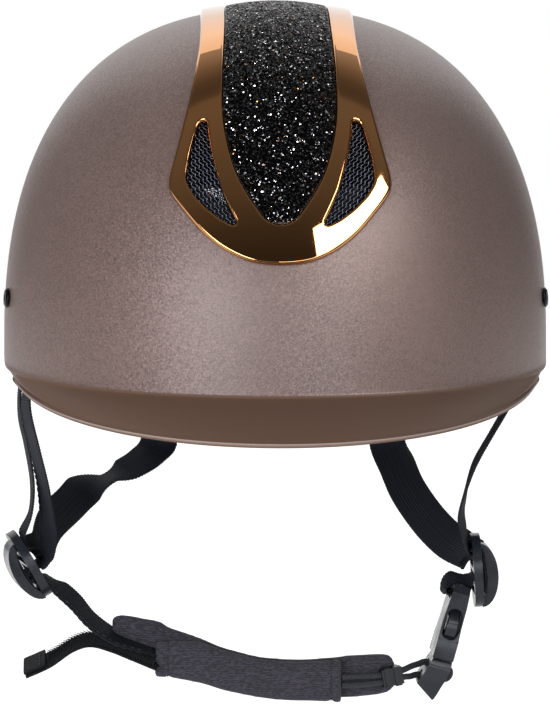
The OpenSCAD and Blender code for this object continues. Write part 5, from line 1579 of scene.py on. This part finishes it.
@dataclass
class Padding:
    """The liner, the skin on its lower face and the comfort pads in it."""

    pad_t: float = 6.0
    brow_end: float = 116.0
    brow_top: float = 42.0
    spoke: float = 60.0
    quilt_rings: tuple[float, float] = (34, 58)
    seam_w: float = 1.8
    cell: float = 40.0

    def build(self) -> None:
        """Makes the liner's binding and the pads."""
        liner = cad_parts["impact_liner"]
        liner.data.materials.clear()
        liner.data.materials.append(FOAM.material())
        self.binding()
        self.crown_pad()
        self.brow_pad()

    def binding(self) -> None:
        """The lining's rolled edge round the liner's lower face."""
        count = 260

        def place(r: int, c: int) -> Vector:
            """A point of the rolled section."""
            turn = 360 * r / count
            z = FORM.liner_z(turn) - 0.3
            out = mix(-FORM.curl - 2.4, -FORM.shell_t - 0.8, FORM.peak_share(turn))
            inside = FORM.liner_in + 2.2
            angle = math.tau * c / 20
            across = mix(inside, out, 0.5 + 0.5 * power_sign(math.cos(angle), 0.5))
            drop = 0.95 * power_sign(math.sin(angle), 0.6) + 0.12 * math.cos(math.radians(turn) * 40)
            return FORM.wall(turn, z - 0.95 + drop * 0.9, across)

        lattice = Lattice(20, count, Wrap.RING).warp(place)
        ring = publish(lattice.bm, "edge_binding", BINDING, "helmet", ("liner_cover",), crisp=70)
        gaps = bmesh.new()
        for side in (1, -1):
            for x, y, w, d in ((98.5, -31, 8, 22), (101, -15.6, 6, 17)):
                spot = Matrix.Translation(Vector((side * x, y, 8)) * MM) @ Matrix.Diagonal((w * MM, d * MM, 0.03, 1))
                bmesh.ops.create_cube(gaps, size=1, matrix=spot)
            spot = (Matrix.Translation(Vector((side * 50, 99, 4)) * MM)
                    @ Matrix.Rotation(math.radians(side * -26), 4, "Z") @ Matrix.Diagonal((0.022, 0.0034, 0.03, 1)))
            bmesh.ops.create_cube(gaps, size=1, matrix=spot)
            bmesh.ops.create_cone(gaps, cap_ends=True, segments=24, radius1=0.0031, radius2=0.0031, depth=0.03,
                                  matrix=Matrix.Translation(Vector((side * 87, -20, 8)) * MM))
        cut(ring, gaps)

    def crown_pad(self) -> None:
        """The quilted pad under the crown."""
        out = FORM.liner_in - 0.7
        rises = [90, 84, 76, 68, 60, 52, 44, 38, 34]
        count = 96

        def column(turn: float) -> list[Vector]:
            """Outer face, hem and inner face of the pad at a plan angle."""
            face = [FORM.dome(turn, u, out) for u in rises]
            hem = [FORM.dome(turn, 31.5, out - 0.4 * self.pad_t)]
            back = [FORM.dome(turn, u, out - self.pad_t * 0.62) for u in rises[::-1]]
            return face + hem + back

        columns = [column(360 * i / count) for i in range(count)]
        lattice = Lattice(count, len(columns[0]), Wrap.TUBE).warp(lambda r, c: columns[c][r]).close()
        pad = publish(lattice.bm, "quilted_crown_pad", LINING, "helmet", ("crown_pad",), crisp=80)
        inflate(pad, 3.2, 2.0, 1.6)
        subdivide(pad)

        def quilt(p: Vector) -> float:
            """Depth of the quilting's seams, six spokes and two rings."""
            turn = math.degrees(math.atan2(p.x, -p.y)) % self.spoke
            reach = math.hypot(p.x, p.y)
            off = min(turn, self.spoke - turn) / 57.3 * reach
            ring = min(abs(reach - radius) for radius in self.quilt_rings)
            inside = (p - Vector((0, 0, 20))).length < 0.86 * FORM.crown_h
            deep = max(math.exp(-(off / self.seam_w) ** 2), math.exp(-(ring / self.seam_w) ** 2))
            return 1.5 * deep if inside and reach > 6 else 0.0

        sink(pad, quilt)

    def brow_pad(self) -> None:
        """The band round the brow, in cells with a seam between each two."""
        out = FORM.liner_in - 0.7
        count, around = 150, 22

        def place(r: int, c: int) -> Vector:
            """A point of the band's puffed section."""
            turn = mix(-self.brow_end, self.brow_end, r / (count - 1))
            low = FORM.liner_z(turn) + 4
            high = self.brow_top
            angle = math.tau * c / around
            end = 1 - 0.6 * smooth(self.brow_end - 12, self.brow_end, abs(turn))
            cell = 0.8 + 0.2 * abs(math.cos(math.radians(4.5 * turn)))
            seam = math.exp(-((abs((turn % self.cell) - self.cell / 2) / 1.1) ** 2))
            z = mix(low, high, 0.5 + 0.5 * power_sign(math.sin(angle), 0.6))
            across = 0.5 - 0.5 * power_sign(math.cos(angle), 0.7)
            return FORM.wall(turn, z, out - 0.9 - across * (self.pad_t - 1.6) * end * cell * (1 - 0.45 * seam))

        lattice = Lattice(around, count, Wrap.TUBE).warp(place).close()
        pad = publish(lattice.bm, "brow_band", LINING, "helmet", ("brow_pad",), crisp=80)
        inflate(pad, 2.4, 1.5, 0.8, 14)
        subdivide(pad)

        def seams(p: Vector) -> float:
            """Depth of the seams between the band's cells."""
            turn = math.degrees(math.atan2(p.x / FORM.half_w, -p.y / FORM.half_l))
            off = abs((turn % self.cell) - self.cell / 2) * 1.7
            inner = math.hypot(p.x / (FORM.half_w + out - 2), p.y / (FORM.half_l + out - 2)) < 1
            return 1.3 * math.exp(-(off / 1.5) ** 2) if inner else 0.0

        sink(pad, seams)


PAD_BACK = [(-66.4, -91.8, 3.6), (-65.4, -91.9, 7), (-61, -92.8, 9.8), (-54, -94.9, 11.6), (-47.4, -97.6, 14),
            (-45.8, -98.6, 14.4), (-42.6, -102.4, 18.4), (-30.5, -106.4, 18), (-18.5, -110.4, 16.4), (-2, -113.6, 16),
            (14.5, -114.2, 16.6), (32, -113.3, 17.6), (43, -112.4, 17), (47, -112.1, 14), (48.6, -112, 8)]
PAD_SLEEVE = [(-48.7, -105.2, 13, 0.05), (-47.8, -105.2, 15, 0.05), (-42, -105.4, 15.8, 0.04),
              (-30.5, -106.8, 17.2, 0), (-18.5, -110.6, 16.6, 0), (-2, -113.8, 16.2, 0), (14.5, -114.4, 17, 0),
              (23, -114.2, 17.6, 0), (25.5, -114.4, 18.4, 0), (26.6, -114.4, 16.6, 0)]


@dataclass
class ChinPad:
    """The knitted pad under the chin: a back layer with a sleeve sewn to its front."""

    back_y: float = -10.5
    back_d: float = 5.0
    sleeve_y: float = -16.3
    sleeve_d: float = 6.0

    def build(self) -> None:
        """Makes both layers and sews them."""
        back = self.layer("chin_pad_back", "chin_pad", [(*s, 0) for s in PAD_BACK], self.back_y, self.back_d)
        sleeve = self.layer("chin_pad_sleeve", "pad_sleeve", PAD_SLEEVE, self.sleeve_y, self.sleeve_d)
        self.sew()

    def layer(self, name: str, node: str, stations: Sequence[Station], y: float, depth: float) -> Thing:
        """Draws one layer through its upright sections, with soft folds.

        Args:
            name: The piece's name.
            node: The CAD node that it stands for.
            stations: For each section its x, its middle height, its height and its lean.
            y: The layer's middle.
            depth: Its thickness.

        Returns:
            The layer.
        """
        path = [Vector(s) for s in stations]
        steps, around = 12, 40
        rows = (len(path) - 1) * steps + 1

        def place(r: int, c: int) -> Vector:
            """A point of the section, with the fabric's small folds."""
            s = r / steps
            x, z, high, lean = curve(path, s)
            full = min(1.0, 0.42 + 0.58 * smooth(0, 1.4, min(s, len(path) - 1 - s)))
            angle = math.tau * c / around
            up, out = power_sign(math.sin(angle), 0.7), power_sign(math.cos(angle), 0.62)
            fold = 0.28 * noise.noise(Vector((x * 0.16, z * 0.05 + up * 1.4, y + out)))
            return Vector((x + lean * up * high / 2, y + out * (full * depth / 2 - 0.25 + fold),
                           z + up * (high / 2 - 0.2) + 0.25 * noise.noise(Vector((x * 0.11, up, y)))))

        lattice = Lattice(around, rows, Wrap.TUBE).warp(place).close()
        piece = publish(lattice.bm, name, PAD_KNIT, "helmet", (node,), crisp=80)
        inflate(piece, 1.05, 1.0, 0.5, 10)
        if node == "pad_sleeve":
            sink(piece, lambda p: 0.7 * max(math.exp(-((p.x + 43.4) / 0.8) ** 2), math.exp(-((p.x - 22.4) / 0.8) ** 2)))
        return piece

    def sew(self) -> None:
        """Sews the hems at the sleeve's ends."""
        spots = []
        front = self.sleeve_y - self.sleeve_d / 2 + 0.6
        for x, z, high, lean in ((-43.4, -105.4, 14.4, 0.04), (22.4, -114.2, 16.4, 0)):
            for i in range(6):
                share = (i - 2.5) / 5.6
                spots.append((Vector((x + lean * share * high, front + 0.9 * abs(2 * share) ** 3, z + share * high)),
                              Vector((lean, 0, 1)).normalized()))
        stitch_row("pad_stitches", spots, THREAD, "helmet", 2.0, 0.42)


# The buckle and its elastic loop


@dataclass
class Buckle:
    """The side-release buckle on the wearer's left, with the elastic loop and its crimp."""

    cord_d: float = 2.6
    pair: float = 1.45
    cord_z: tuple[float, float] = (-4.5, -10.3)
    shorten: float = 0.87

    def build(self) -> None:
        """Makes the socket, the plug, its prongs, the crimp and the cord."""
        node_copy(("buckle_socket",), "receiver", SLATE_PLASTIC, "helmet", 0.4, 3,
                  opening=self.windows())
        node_copy(("buckle_plug",), "plug_body", SLATE_PLASTIC, "plug", 0.4, 3, form=self.taper)
        for side in ("front", "back"):
            node_copy((f"prong_{side}",), f"release_prong_{side}", SLATE_PLASTIC, "plug", 0.4, 3)
        node_copy(("cord_crimp",), "crimp", BLACK_PLASTIC, "helmet", 0.35)
        self.cord()

    def windows(self) -> BMesh:
        """The long oval windows in the socket's two sides."""
        bm = bmesh.new()
        for side in (1, -1):
            for height, radius in ((13.4, 3.7), (18.2, 3.3)):
                turn = Matrix.Translation(on_buckle((0, side * 10.6, height)) * MM)
                turn = turn @ Matrix.Rotation(math.radians(BUCKLE_TILT), 4, "Y") @ Matrix.Rotation(math.pi / 2, 4, "X")
                bmesh.ops.create_cone(bm, cap_ends=True, segments=32, radius1=radius * MM, radius2=radius * MM,
                                      depth=0.006, matrix=turn)
        hulls = bmesh.new()
        for side in (1, -1):
            part = [v for v in bm.verts if (v.co.y / MM - BUCKLE.y) * side > 0]
            copied = [hulls.verts.new(v.co) for v in part]
            bmesh.ops.convex_hull(hulls, input=copied)
        bm.free()
        return hulls

    def taper(self, bm: BMesh) -> None:
        """Slims the plug towards its end flange, as the moulding does."""
        turn = Matrix.Translation(BUCKLE * MM) @ Matrix.Rotation(math.radians(BUCKLE_TILT), 4, "Y")
        bmesh.ops.transform(bm, matrix=turn.inverted(), verts=bm.verts)
        for height in (-4.6, -7.4, -9.0, -12.0):
            bmesh.ops.bisect_plane(bm, geom=bm.verts[:] + bm.edges[:] + bm.faces[:], plane_co=(0, 0, height * MM),
                                   plane_no=(0, 0, 1), dist=0.00001)
        for v in bm.verts:
            if v.co.z < 0:
                v.co.z *= self.shorten
                if v.co.x > 0:
                    v.co.x *= 1 - 0.62 * smooth(3.4, 15.5, -v.co.z / MM)
        bmesh.ops.transform(bm, matrix=turn, verts=bm.verts)

    def in_crimp(self, x: float, side: int) -> Vector:
        """A point of one cord run inside the crimp."""
        return Vector((47, -16.1, -112.6)) + turn_z(turn_y((x, 0, side * self.pair), -11), 12)

    def cord(self) -> None:
        """Draws the elastic from the sleeve through the crimp, round the plug's bar and back."""
        y, up, low = -16.3, self.cord_z[0] * self.shorten, self.cord_z[1] * self.shorten
        path = [Vector((27, y, -114.4 + self.pair)), Vector((33, y - 0.4, -114 + self.pair))]
        path += [self.in_crimp(x, 1) for x in (-5.1, 0, 5.1)]
        path += [Vector((55.4, -12.6, -109)), Vector((58.4, -10.4, -108.4))]
        path += [on_buckle(p) for p in ((-5.4, -0.2, up), (0, 0, up), (3.4, 0, up), (5.1, 0, up - 0.8),
                                        (5.6, 0, (up + low) / 2), (4.9, 0, low + 0.8), (3.2, 0, low), (0, 0, low),
                                        (-5, -0.1, low - 0.5), (-7.6, -0.2, low - 1))]
        path += [Vector((54.8, -12, -113.3))] + [self.in_crimp(x, -1) for x in (5.1, 0, -5.1)]
        path += [Vector((33, y - 0.4, -114.6 - self.pair)), Vector((27, y, -114.8 - self.pair))]
        last, fine, around = len(path) - 1, 22, 20
        rows = last * fine + 1
        spots = [curve(path, r / fine) for r in range(rows)]
        run = running(spots)

        def place(r: int, c: int) -> Vector:
            """A point of the braided surface."""
            along = (spots[min(r + 1, rows - 1)] - spots[max(r - 1, 0)]).normalized()
            side = Vector((0, 1, 0))
            side = (side - along * along.dot(side)).normalized()
            angle = math.tau * c / around
            strand = 0.07 * math.sin(5 * angle + run[r] * 3.9) * math.sin(5 * angle - run[r] * 3.9)
            reach = self.cord_d / 2 - 0.05 + strand
            return spots[r] + reach * (math.cos(angle) * side + math.sin(angle) * along.cross(side))

        lattice = Lattice(around, rows, Wrap.TUBE).warp(place)
        lattice.map([d * MM for d in run], [c / around for c in range(around + 1)])
        lattice.close()
        cord = publish(lattice.bm, "elastic_loop", ELASTIC, None, ("elastic_cord",), crisp=80)
        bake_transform(cord, "helmet", "plug", start=(0.0525, -0.014, -0.111), end=(0.0595, -0.010, -0.110))


# The fit system at the nape


@dataclass
class FitSystem:
    """The cradle with its dial, two toothed racks and the bands that they pull."""

    cradle_z: float = -13.5
    cradle_y: float = 96.0

    def build(self) -> None:
        """Dresses the cradle's pieces and makes its soft ones."""
        rigid = (
            ("cradle_housing", "cradle", BLACK_PLASTIC, "matt_black", 0.6),
            ("cradle_cover", "cradle", ACETAL, "acetal", 0.3),
            ("dial_knob", "dial", SLATE_PLASTIC, "matt_black", 0.35),
            ("pinion", "dial", STEEL, "steel", 0.0),
            ("dial_screw", "dial", STEEL, "steel", 0.15),
            ("rack_left", "left_rack", ACETAL, "acetal", 0.15),
            ("rack_right", "right_rack", ACETAL, "acetal", 0.15))
        for node, body, finish, slot, width in rigid:
            node_copy((node,), f"fit_{node}", finish, body, width)
        self.nape_pad()
        for side in (1, -1):
            self.band(side)
        self.hanger()

    def nape_pad(self) -> None:
        """The soft pad on the cradle's front."""
        y = self.cradle_y - 0.3
        rings = ((0.0, 0.92), (-0.12, 0.98), (-0.5, 0.98), (-0.82, 0.88), (-0.95, 0.66), (-1.0, 0.3))
        around = 48

        def place(r: int, c: int) -> Vector:
            """A point of the pad's crowned face."""
            if r in (0, len(rings) + 1):
                return Vector((0, y if r == 0 else y - 6, self.cradle_z))
            depth, size = rings[r - 1]
            angle = math.tau * c / around
            return Vector((27 * size * power_sign(math.cos(angle), 0.6), y + 6 * depth,
                           self.cradle_z + 10.5 * size * power_sign(math.sin(angle), 0.6)))

        lattice = Lattice(around, len(rings) + 2, Wrap.TUBE).warp(place).close()
        pad = publish(lattice.bm, "nape_cushion", LINING, "cradle", ("nape_pad",), crisp=80)
        inflate(pad, 1.6, 1.5, 0.5, 12)
        sink(pad, lambda p: 1.0 * math.exp(-((abs(p.x) - 9) / 1.0) ** 2) if p.y < self.cradle_y - 3 else 0.0)

    def band(self, side: int) -> None:
        """One fit band from its rack to its pin at the temple, with a row of click teeth."""
        y = (97.95 if side > 0 else 100.3) + 1
        spots = [(30, y, self.cradle_z), (35.5, y - 2, self.cradle_z + 0.4), (45, 88.6, -12), (57, 75, -9.6),
                 (68, 54, -6.4), (76, 30, -2.6), (80, 8, 1), (82, -8, 3.4), (86.4, -15, 4), (87, -20, 4)]
        stations = [(side * x, yy, z, 0, 0, 1) for x, yy, z in spots]
        where = "left" if side > 0 else "right"
        band = Strap(f"fit_band_strip_{where}", f"fit_band_{where}", stations, width=7, thick=2, rib=2.4,
                     rib_height=0.12, finish=BLACK_PLASTIC, around=20, body=None, slot="matt_black")
        strip = band.build()
        bm = bmesh.new()
        for radius, low, high in ((3.5, 0.5, 7.5), (2.5, 4, 18)):
            spot = Matrix.Translation(Vector((side * 87, -20, (low + high) / 2)) * MM)
            bmesh.ops.create_cone(bm, cap_ends=True, segments=32, radius1=radius * MM, radius2=radius * MM,
                                  depth=(high - low) * MM, matrix=spot)
        publish(bm, f"temple_pin_{where}", BLACK_PLASTIC, "helmet", (f"fit_band_{where}",))
        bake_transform(strip, "helmet", "cradle", start=(0, 0.01, 0), end=(0, 0.085, 0))

    def hanger(self) -> None:
        """The strip that the cradle hangs from."""
        stations = [(0, 101.8, 46, 1, 0, 0), (0, 103.2, 36, 1, 0, 0), (0, 103.5, 22, 1, 0, 0), (0, 103.2, 10, 1, 0, 0),
                    (0, 101.6, 2, 1, 0, 0), (0, 100.4, -2.2, 1, 0, 0)]
        strip = Strap("cradle_strip", "cradle_hanger", stations, width=14, thick=1.2, rib=2.0, rib_height=0.08,
                      finish=BLACK_PLASTIC, around=20, body=None, slot="matt_black").build()
        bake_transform(strip, "helmet", "cradle", start=(0, 0, 0.04), end=(0, 0, 0.0))


# The studio


@dataclass
class Studio:
    """A white sweep, soft lights and a long lens at the photograph's angle."""

    distance: float = 1.5
    elevation: float = 4.0
    yaw: float = 1.0
    aim: tuple[float, float, float] = (0.0, 0.0, 0.018)
    span: float = 0.28722
    surround: float = 0.56
    paper_glow: float = 0.62
    floor_z: float = -0.1525
    cool_white: tuple[float, float, float] = (0.87, 0.93, 1.0)

    def build(self) -> None:
        """Sets up the camera, the background, the cards and the lights."""
        self.camera()
        self.world()
        self.floor()
        self.cards()
        self.lights()
        bpy.context.scene.view_settings.view_transform = "Standard"

    def camera(self) -> None:
        """Places the camera so that the longer side of the picture spans its real size."""
        data = bpy.data.cameras.new("product_camera")
        data.lens = data.sensor_width * self.distance / self.span
        camera = add_object("product_camera", data)
        back = toward(math.radians(-self.yaw), math.radians(self.elevation))
        camera.location = Vector(self.aim) + back * self.distance
        camera.rotation_euler = (-back).to_track_quat("-Z", "Y").to_euler()
        bpy.context.scene.camera = camera

    @staticmethod
    def sight(tree: Tree) -> Socket:
        """1 where the studio itself is seen, directly or in a reflection, and 0 where it lights the helmet."""
        path = add_node(tree, "ShaderNodeLightPath")
        seen = calc(tree, "MAXIMUM", path.outputs["Is Camera Ray"], path.outputs["Is Glossy Ray"])
        return calc(tree, "MAXIMUM", seen, path.outputs["Is Transmission Ray"])

    def world(self) -> None:
        """A white surround for the camera and for reflections, and a plain level for the rest."""
        world = bpy.data.worlds.new("studio")
        bpy.context.scene.world = world
        world.use_nodes = True
        tree = world.node_tree
        level = remap(tree, self.sight(tree), self.surround, 1.0)
        feed(tree, tree.nodes["Background"], {"Strength": level, "Color": (1, 1, 1, 1)})

    def floor(self) -> None:
        """A white paper sweep under the helmet, low enough for the released buckle."""
        bm = bmesh.new()
        bmesh.ops.create_grid(bm, x_segments=1, y_segments=1, size=3.0)
        bmesh.ops.translate(bm, verts=bm.verts, vec=(0, 0, self.floor_z))
        floor = add_object("floor", mesh_from(bm, "floor"))
        paper = bpy.data.materials.new("white_paper")
        paper.use_nodes = True
        tree = paper.node_tree
        feed(tree, tree.nodes["Principled BSDF"], {
            "Base Color": linear("#f2f2f2"), "Roughness": 0.9, "Specular IOR Level": 0.1,
            "Emission Color": (1, 1, 1, 1),
            "Emission Strength": calc(tree, "MULTIPLY", self.sight(tree), self.paper_glow)})
        floor.data.materials.append(paper)

    def cards(self) -> None:
        """Cards round the helmet that only reflections see: they shade the plating and the lacquer."""
        grey = ((0, 0.035), (20, 0.045), (27, 0.065), (40, 0.12), (60, 0.17), (80, 0.21), (85, 0.2), (88, 0.115),
                (92, 0.1), (97, 0.12), (104, 0.22), (110, 0.35), (117, 0.5))
        self.card("front_card", grey, 6.0)
        self.card("rear_card", ((117, 1.4), (130, 1.5), (150, 1.1), (165, 1.0)), 2.2)
        self.patch("window_right", ((18.5, 13), (62, 22), (58, 38.5), (16.5, 26.5)), 1.5, 9.0)
        self.patch("flag_left", ((-72, -4), (-155, -4), (-150, 48), (-72, 50)), 2.6, 0.12)
        self.patch("flag_right", ((72, -4), (155, -4), (150, 48), (72, 50)), 2.6, 0.08)
        flag = bmesh.new()
        bmesh.ops.create_grid(flag, x_segments=1, y_segments=1, size=1.0)
        bmesh.ops.translate(flag, verts=flag.verts, vec=(0, -1.25, -0.124))
        self.hang(flag, "floor_flag", linear("#ffffff"), 0.12)

    def patch(self, name: str, corners: Sequence[tuple[float, float]], away: float, level: float) -> None:
        """Hangs a plain card that only reflections see.

        Args:
            name: The card's name.
            corners: Its four corners, each as degrees to the right of the front and degrees up.
            away: Its distance in metres.
            level: Its level of light.
        """
        def place(r: int, c: int) -> Vector:
            """A point of the card."""
            low = mix(Vector(corners[0]), Vector(corners[1]), c / 8)
            high = mix(Vector(corners[3]), Vector(corners[2]), c / 8)
            return toward(*(math.radians(d) for d in mix(low, high, r / 8))) * away / MM

        self.hang(Lattice(9, 9, Wrap.SHEET).warp(place).bm, name, linear("#ffffff"), level)

    def hang(self, bm: BMesh, name: str, colour: Sequence[float] | None, level: float) -> Tree:
        """Turns a bmesh into a glowing card.

        Args:
            bm: The card's mesh.
            name: The card's name.
            colour: Its colour, or None where the caller links one.
            level: Its strength.

        Returns:
            The node tree of its surface.
        """
        card = add_object(name, mesh_from(bm, name))
        felt = bpy.data.materials.new(f"{name}_surface")
        felt.use_nodes = True
        tree = felt.node_tree
        tree.nodes.remove(tree.nodes["Principled BSDF"])
        glow = add_node(tree, "ShaderNodeEmission", {"Color": colour or (1, 1, 1, 1), "Strength": level})
        tree.links.new(glow.outputs[0], tree.nodes["Material Output"].inputs["Surface"])
        card.data.materials.append(felt)
        card.visible_camera = card.visible_diffuse = card.visible_shadow = card.visible_transmission = False
        return tree

    def card(self, name: str, levels: Sequence[tuple[float, float]], half_wide: float) -> None:
        """Bends a card over the helmet, with a level of grey for each angle from the front over the top.

        Args:
            name: The card's name.
            levels: Angles in degrees, each with its level of light.
            half_wide: Half of its width in metres.
        """
        bm = bmesh.new()
        low, high = levels[0][0], levels[-1][0]
        for x in (-half_wide, half_wide):
            bm.verts.new((x, -2.2, 0))
        bmesh.ops.contextual_create(bm, geom=bm.verts[:])
        bmesh.ops.rotate(bm, verts=bm.verts, matrix=Matrix.Rotation(-math.radians(low), 3, "X"))
        bmesh.ops.spin(bm, geom=bm.verts[:] + bm.edges[:], axis=(1, 0, 0), angle=-math.radians(high - low), steps=24)
        top = max(level for _, level in levels)
        tree = self.hang(bm, name, None, top)
        spot = add_node(tree, "ShaderNodeSeparateXYZ",
                        {"Vector": add_node(tree, "ShaderNodeTexCoord").outputs["Object"]})
        turn = calc(tree, "ARCTAN2", spot.outputs["Z"], calc(tree, "MULTIPLY", spot.outputs["Y"], -1.0))
        share = remap(tree, turn, 0.0, 1.0, math.radians(low), math.radians(high))
        ramp = add_node(tree, "ShaderNodeValToRGB", {"Fac": share})
        stops = ramp.color_ramp.elements
        for angle, _ in levels[1:-1]:
            stops.new((angle - low) / (high - low))
        for stop, (angle, level) in zip(stops, levels):
            stop.position = (angle - low) / (high - low)
            stop.color = (level / top, level / top, level / top, 1)
        glow = next(n for n in tree.nodes if n.bl_idname == "ShaderNodeEmission")
        tree.links.new(ramp.outputs["Color"], glow.inputs["Color"])

    def lights(self) -> None:
        """A wide soft box to the left of the camera, and a dimmer one to the right, both near its height."""
        boxes = (
            ("key_left", -32.0, 2.0, 1.7, 1.1, 0.9, 24.0),
            ("fill_front", 18.0, -1.0, 2.0, 1.3, 0.5, 11.0))
        for name, azimuth, height, away, wide, tall, power in boxes:
            data = bpy.data.lights.new(name, "AREA")
            data.shape, data.size, data.size_y, data.energy = "RECTANGLE", wide, tall, power
            data.color = self.cool_white
            lamp = add_object(name, data)
            spot = toward(math.radians(azimuth), math.radians(height)) * away
            lamp.location = spot
            lamp.rotation_euler = (-spot).to_track_quat("-Z", "Y").to_euler()


def main() -> None:
    """Builds the helmet piece by piece."""
    logging.basicConfig(level=logging.INFO, format="%(name)s %(relativeCreated)d ms: %(message)s")
    Studio().build()
    for part in (OuterShell(), CrownFrame(), Harness(), Padding(), ChinPad(), Buckle(), FitSystem()):
        LOG.info("building %s", type(part).__name__)
        part.build()
    bpy.context.view_layer.update()


if __name__ == "__main__":
    main()
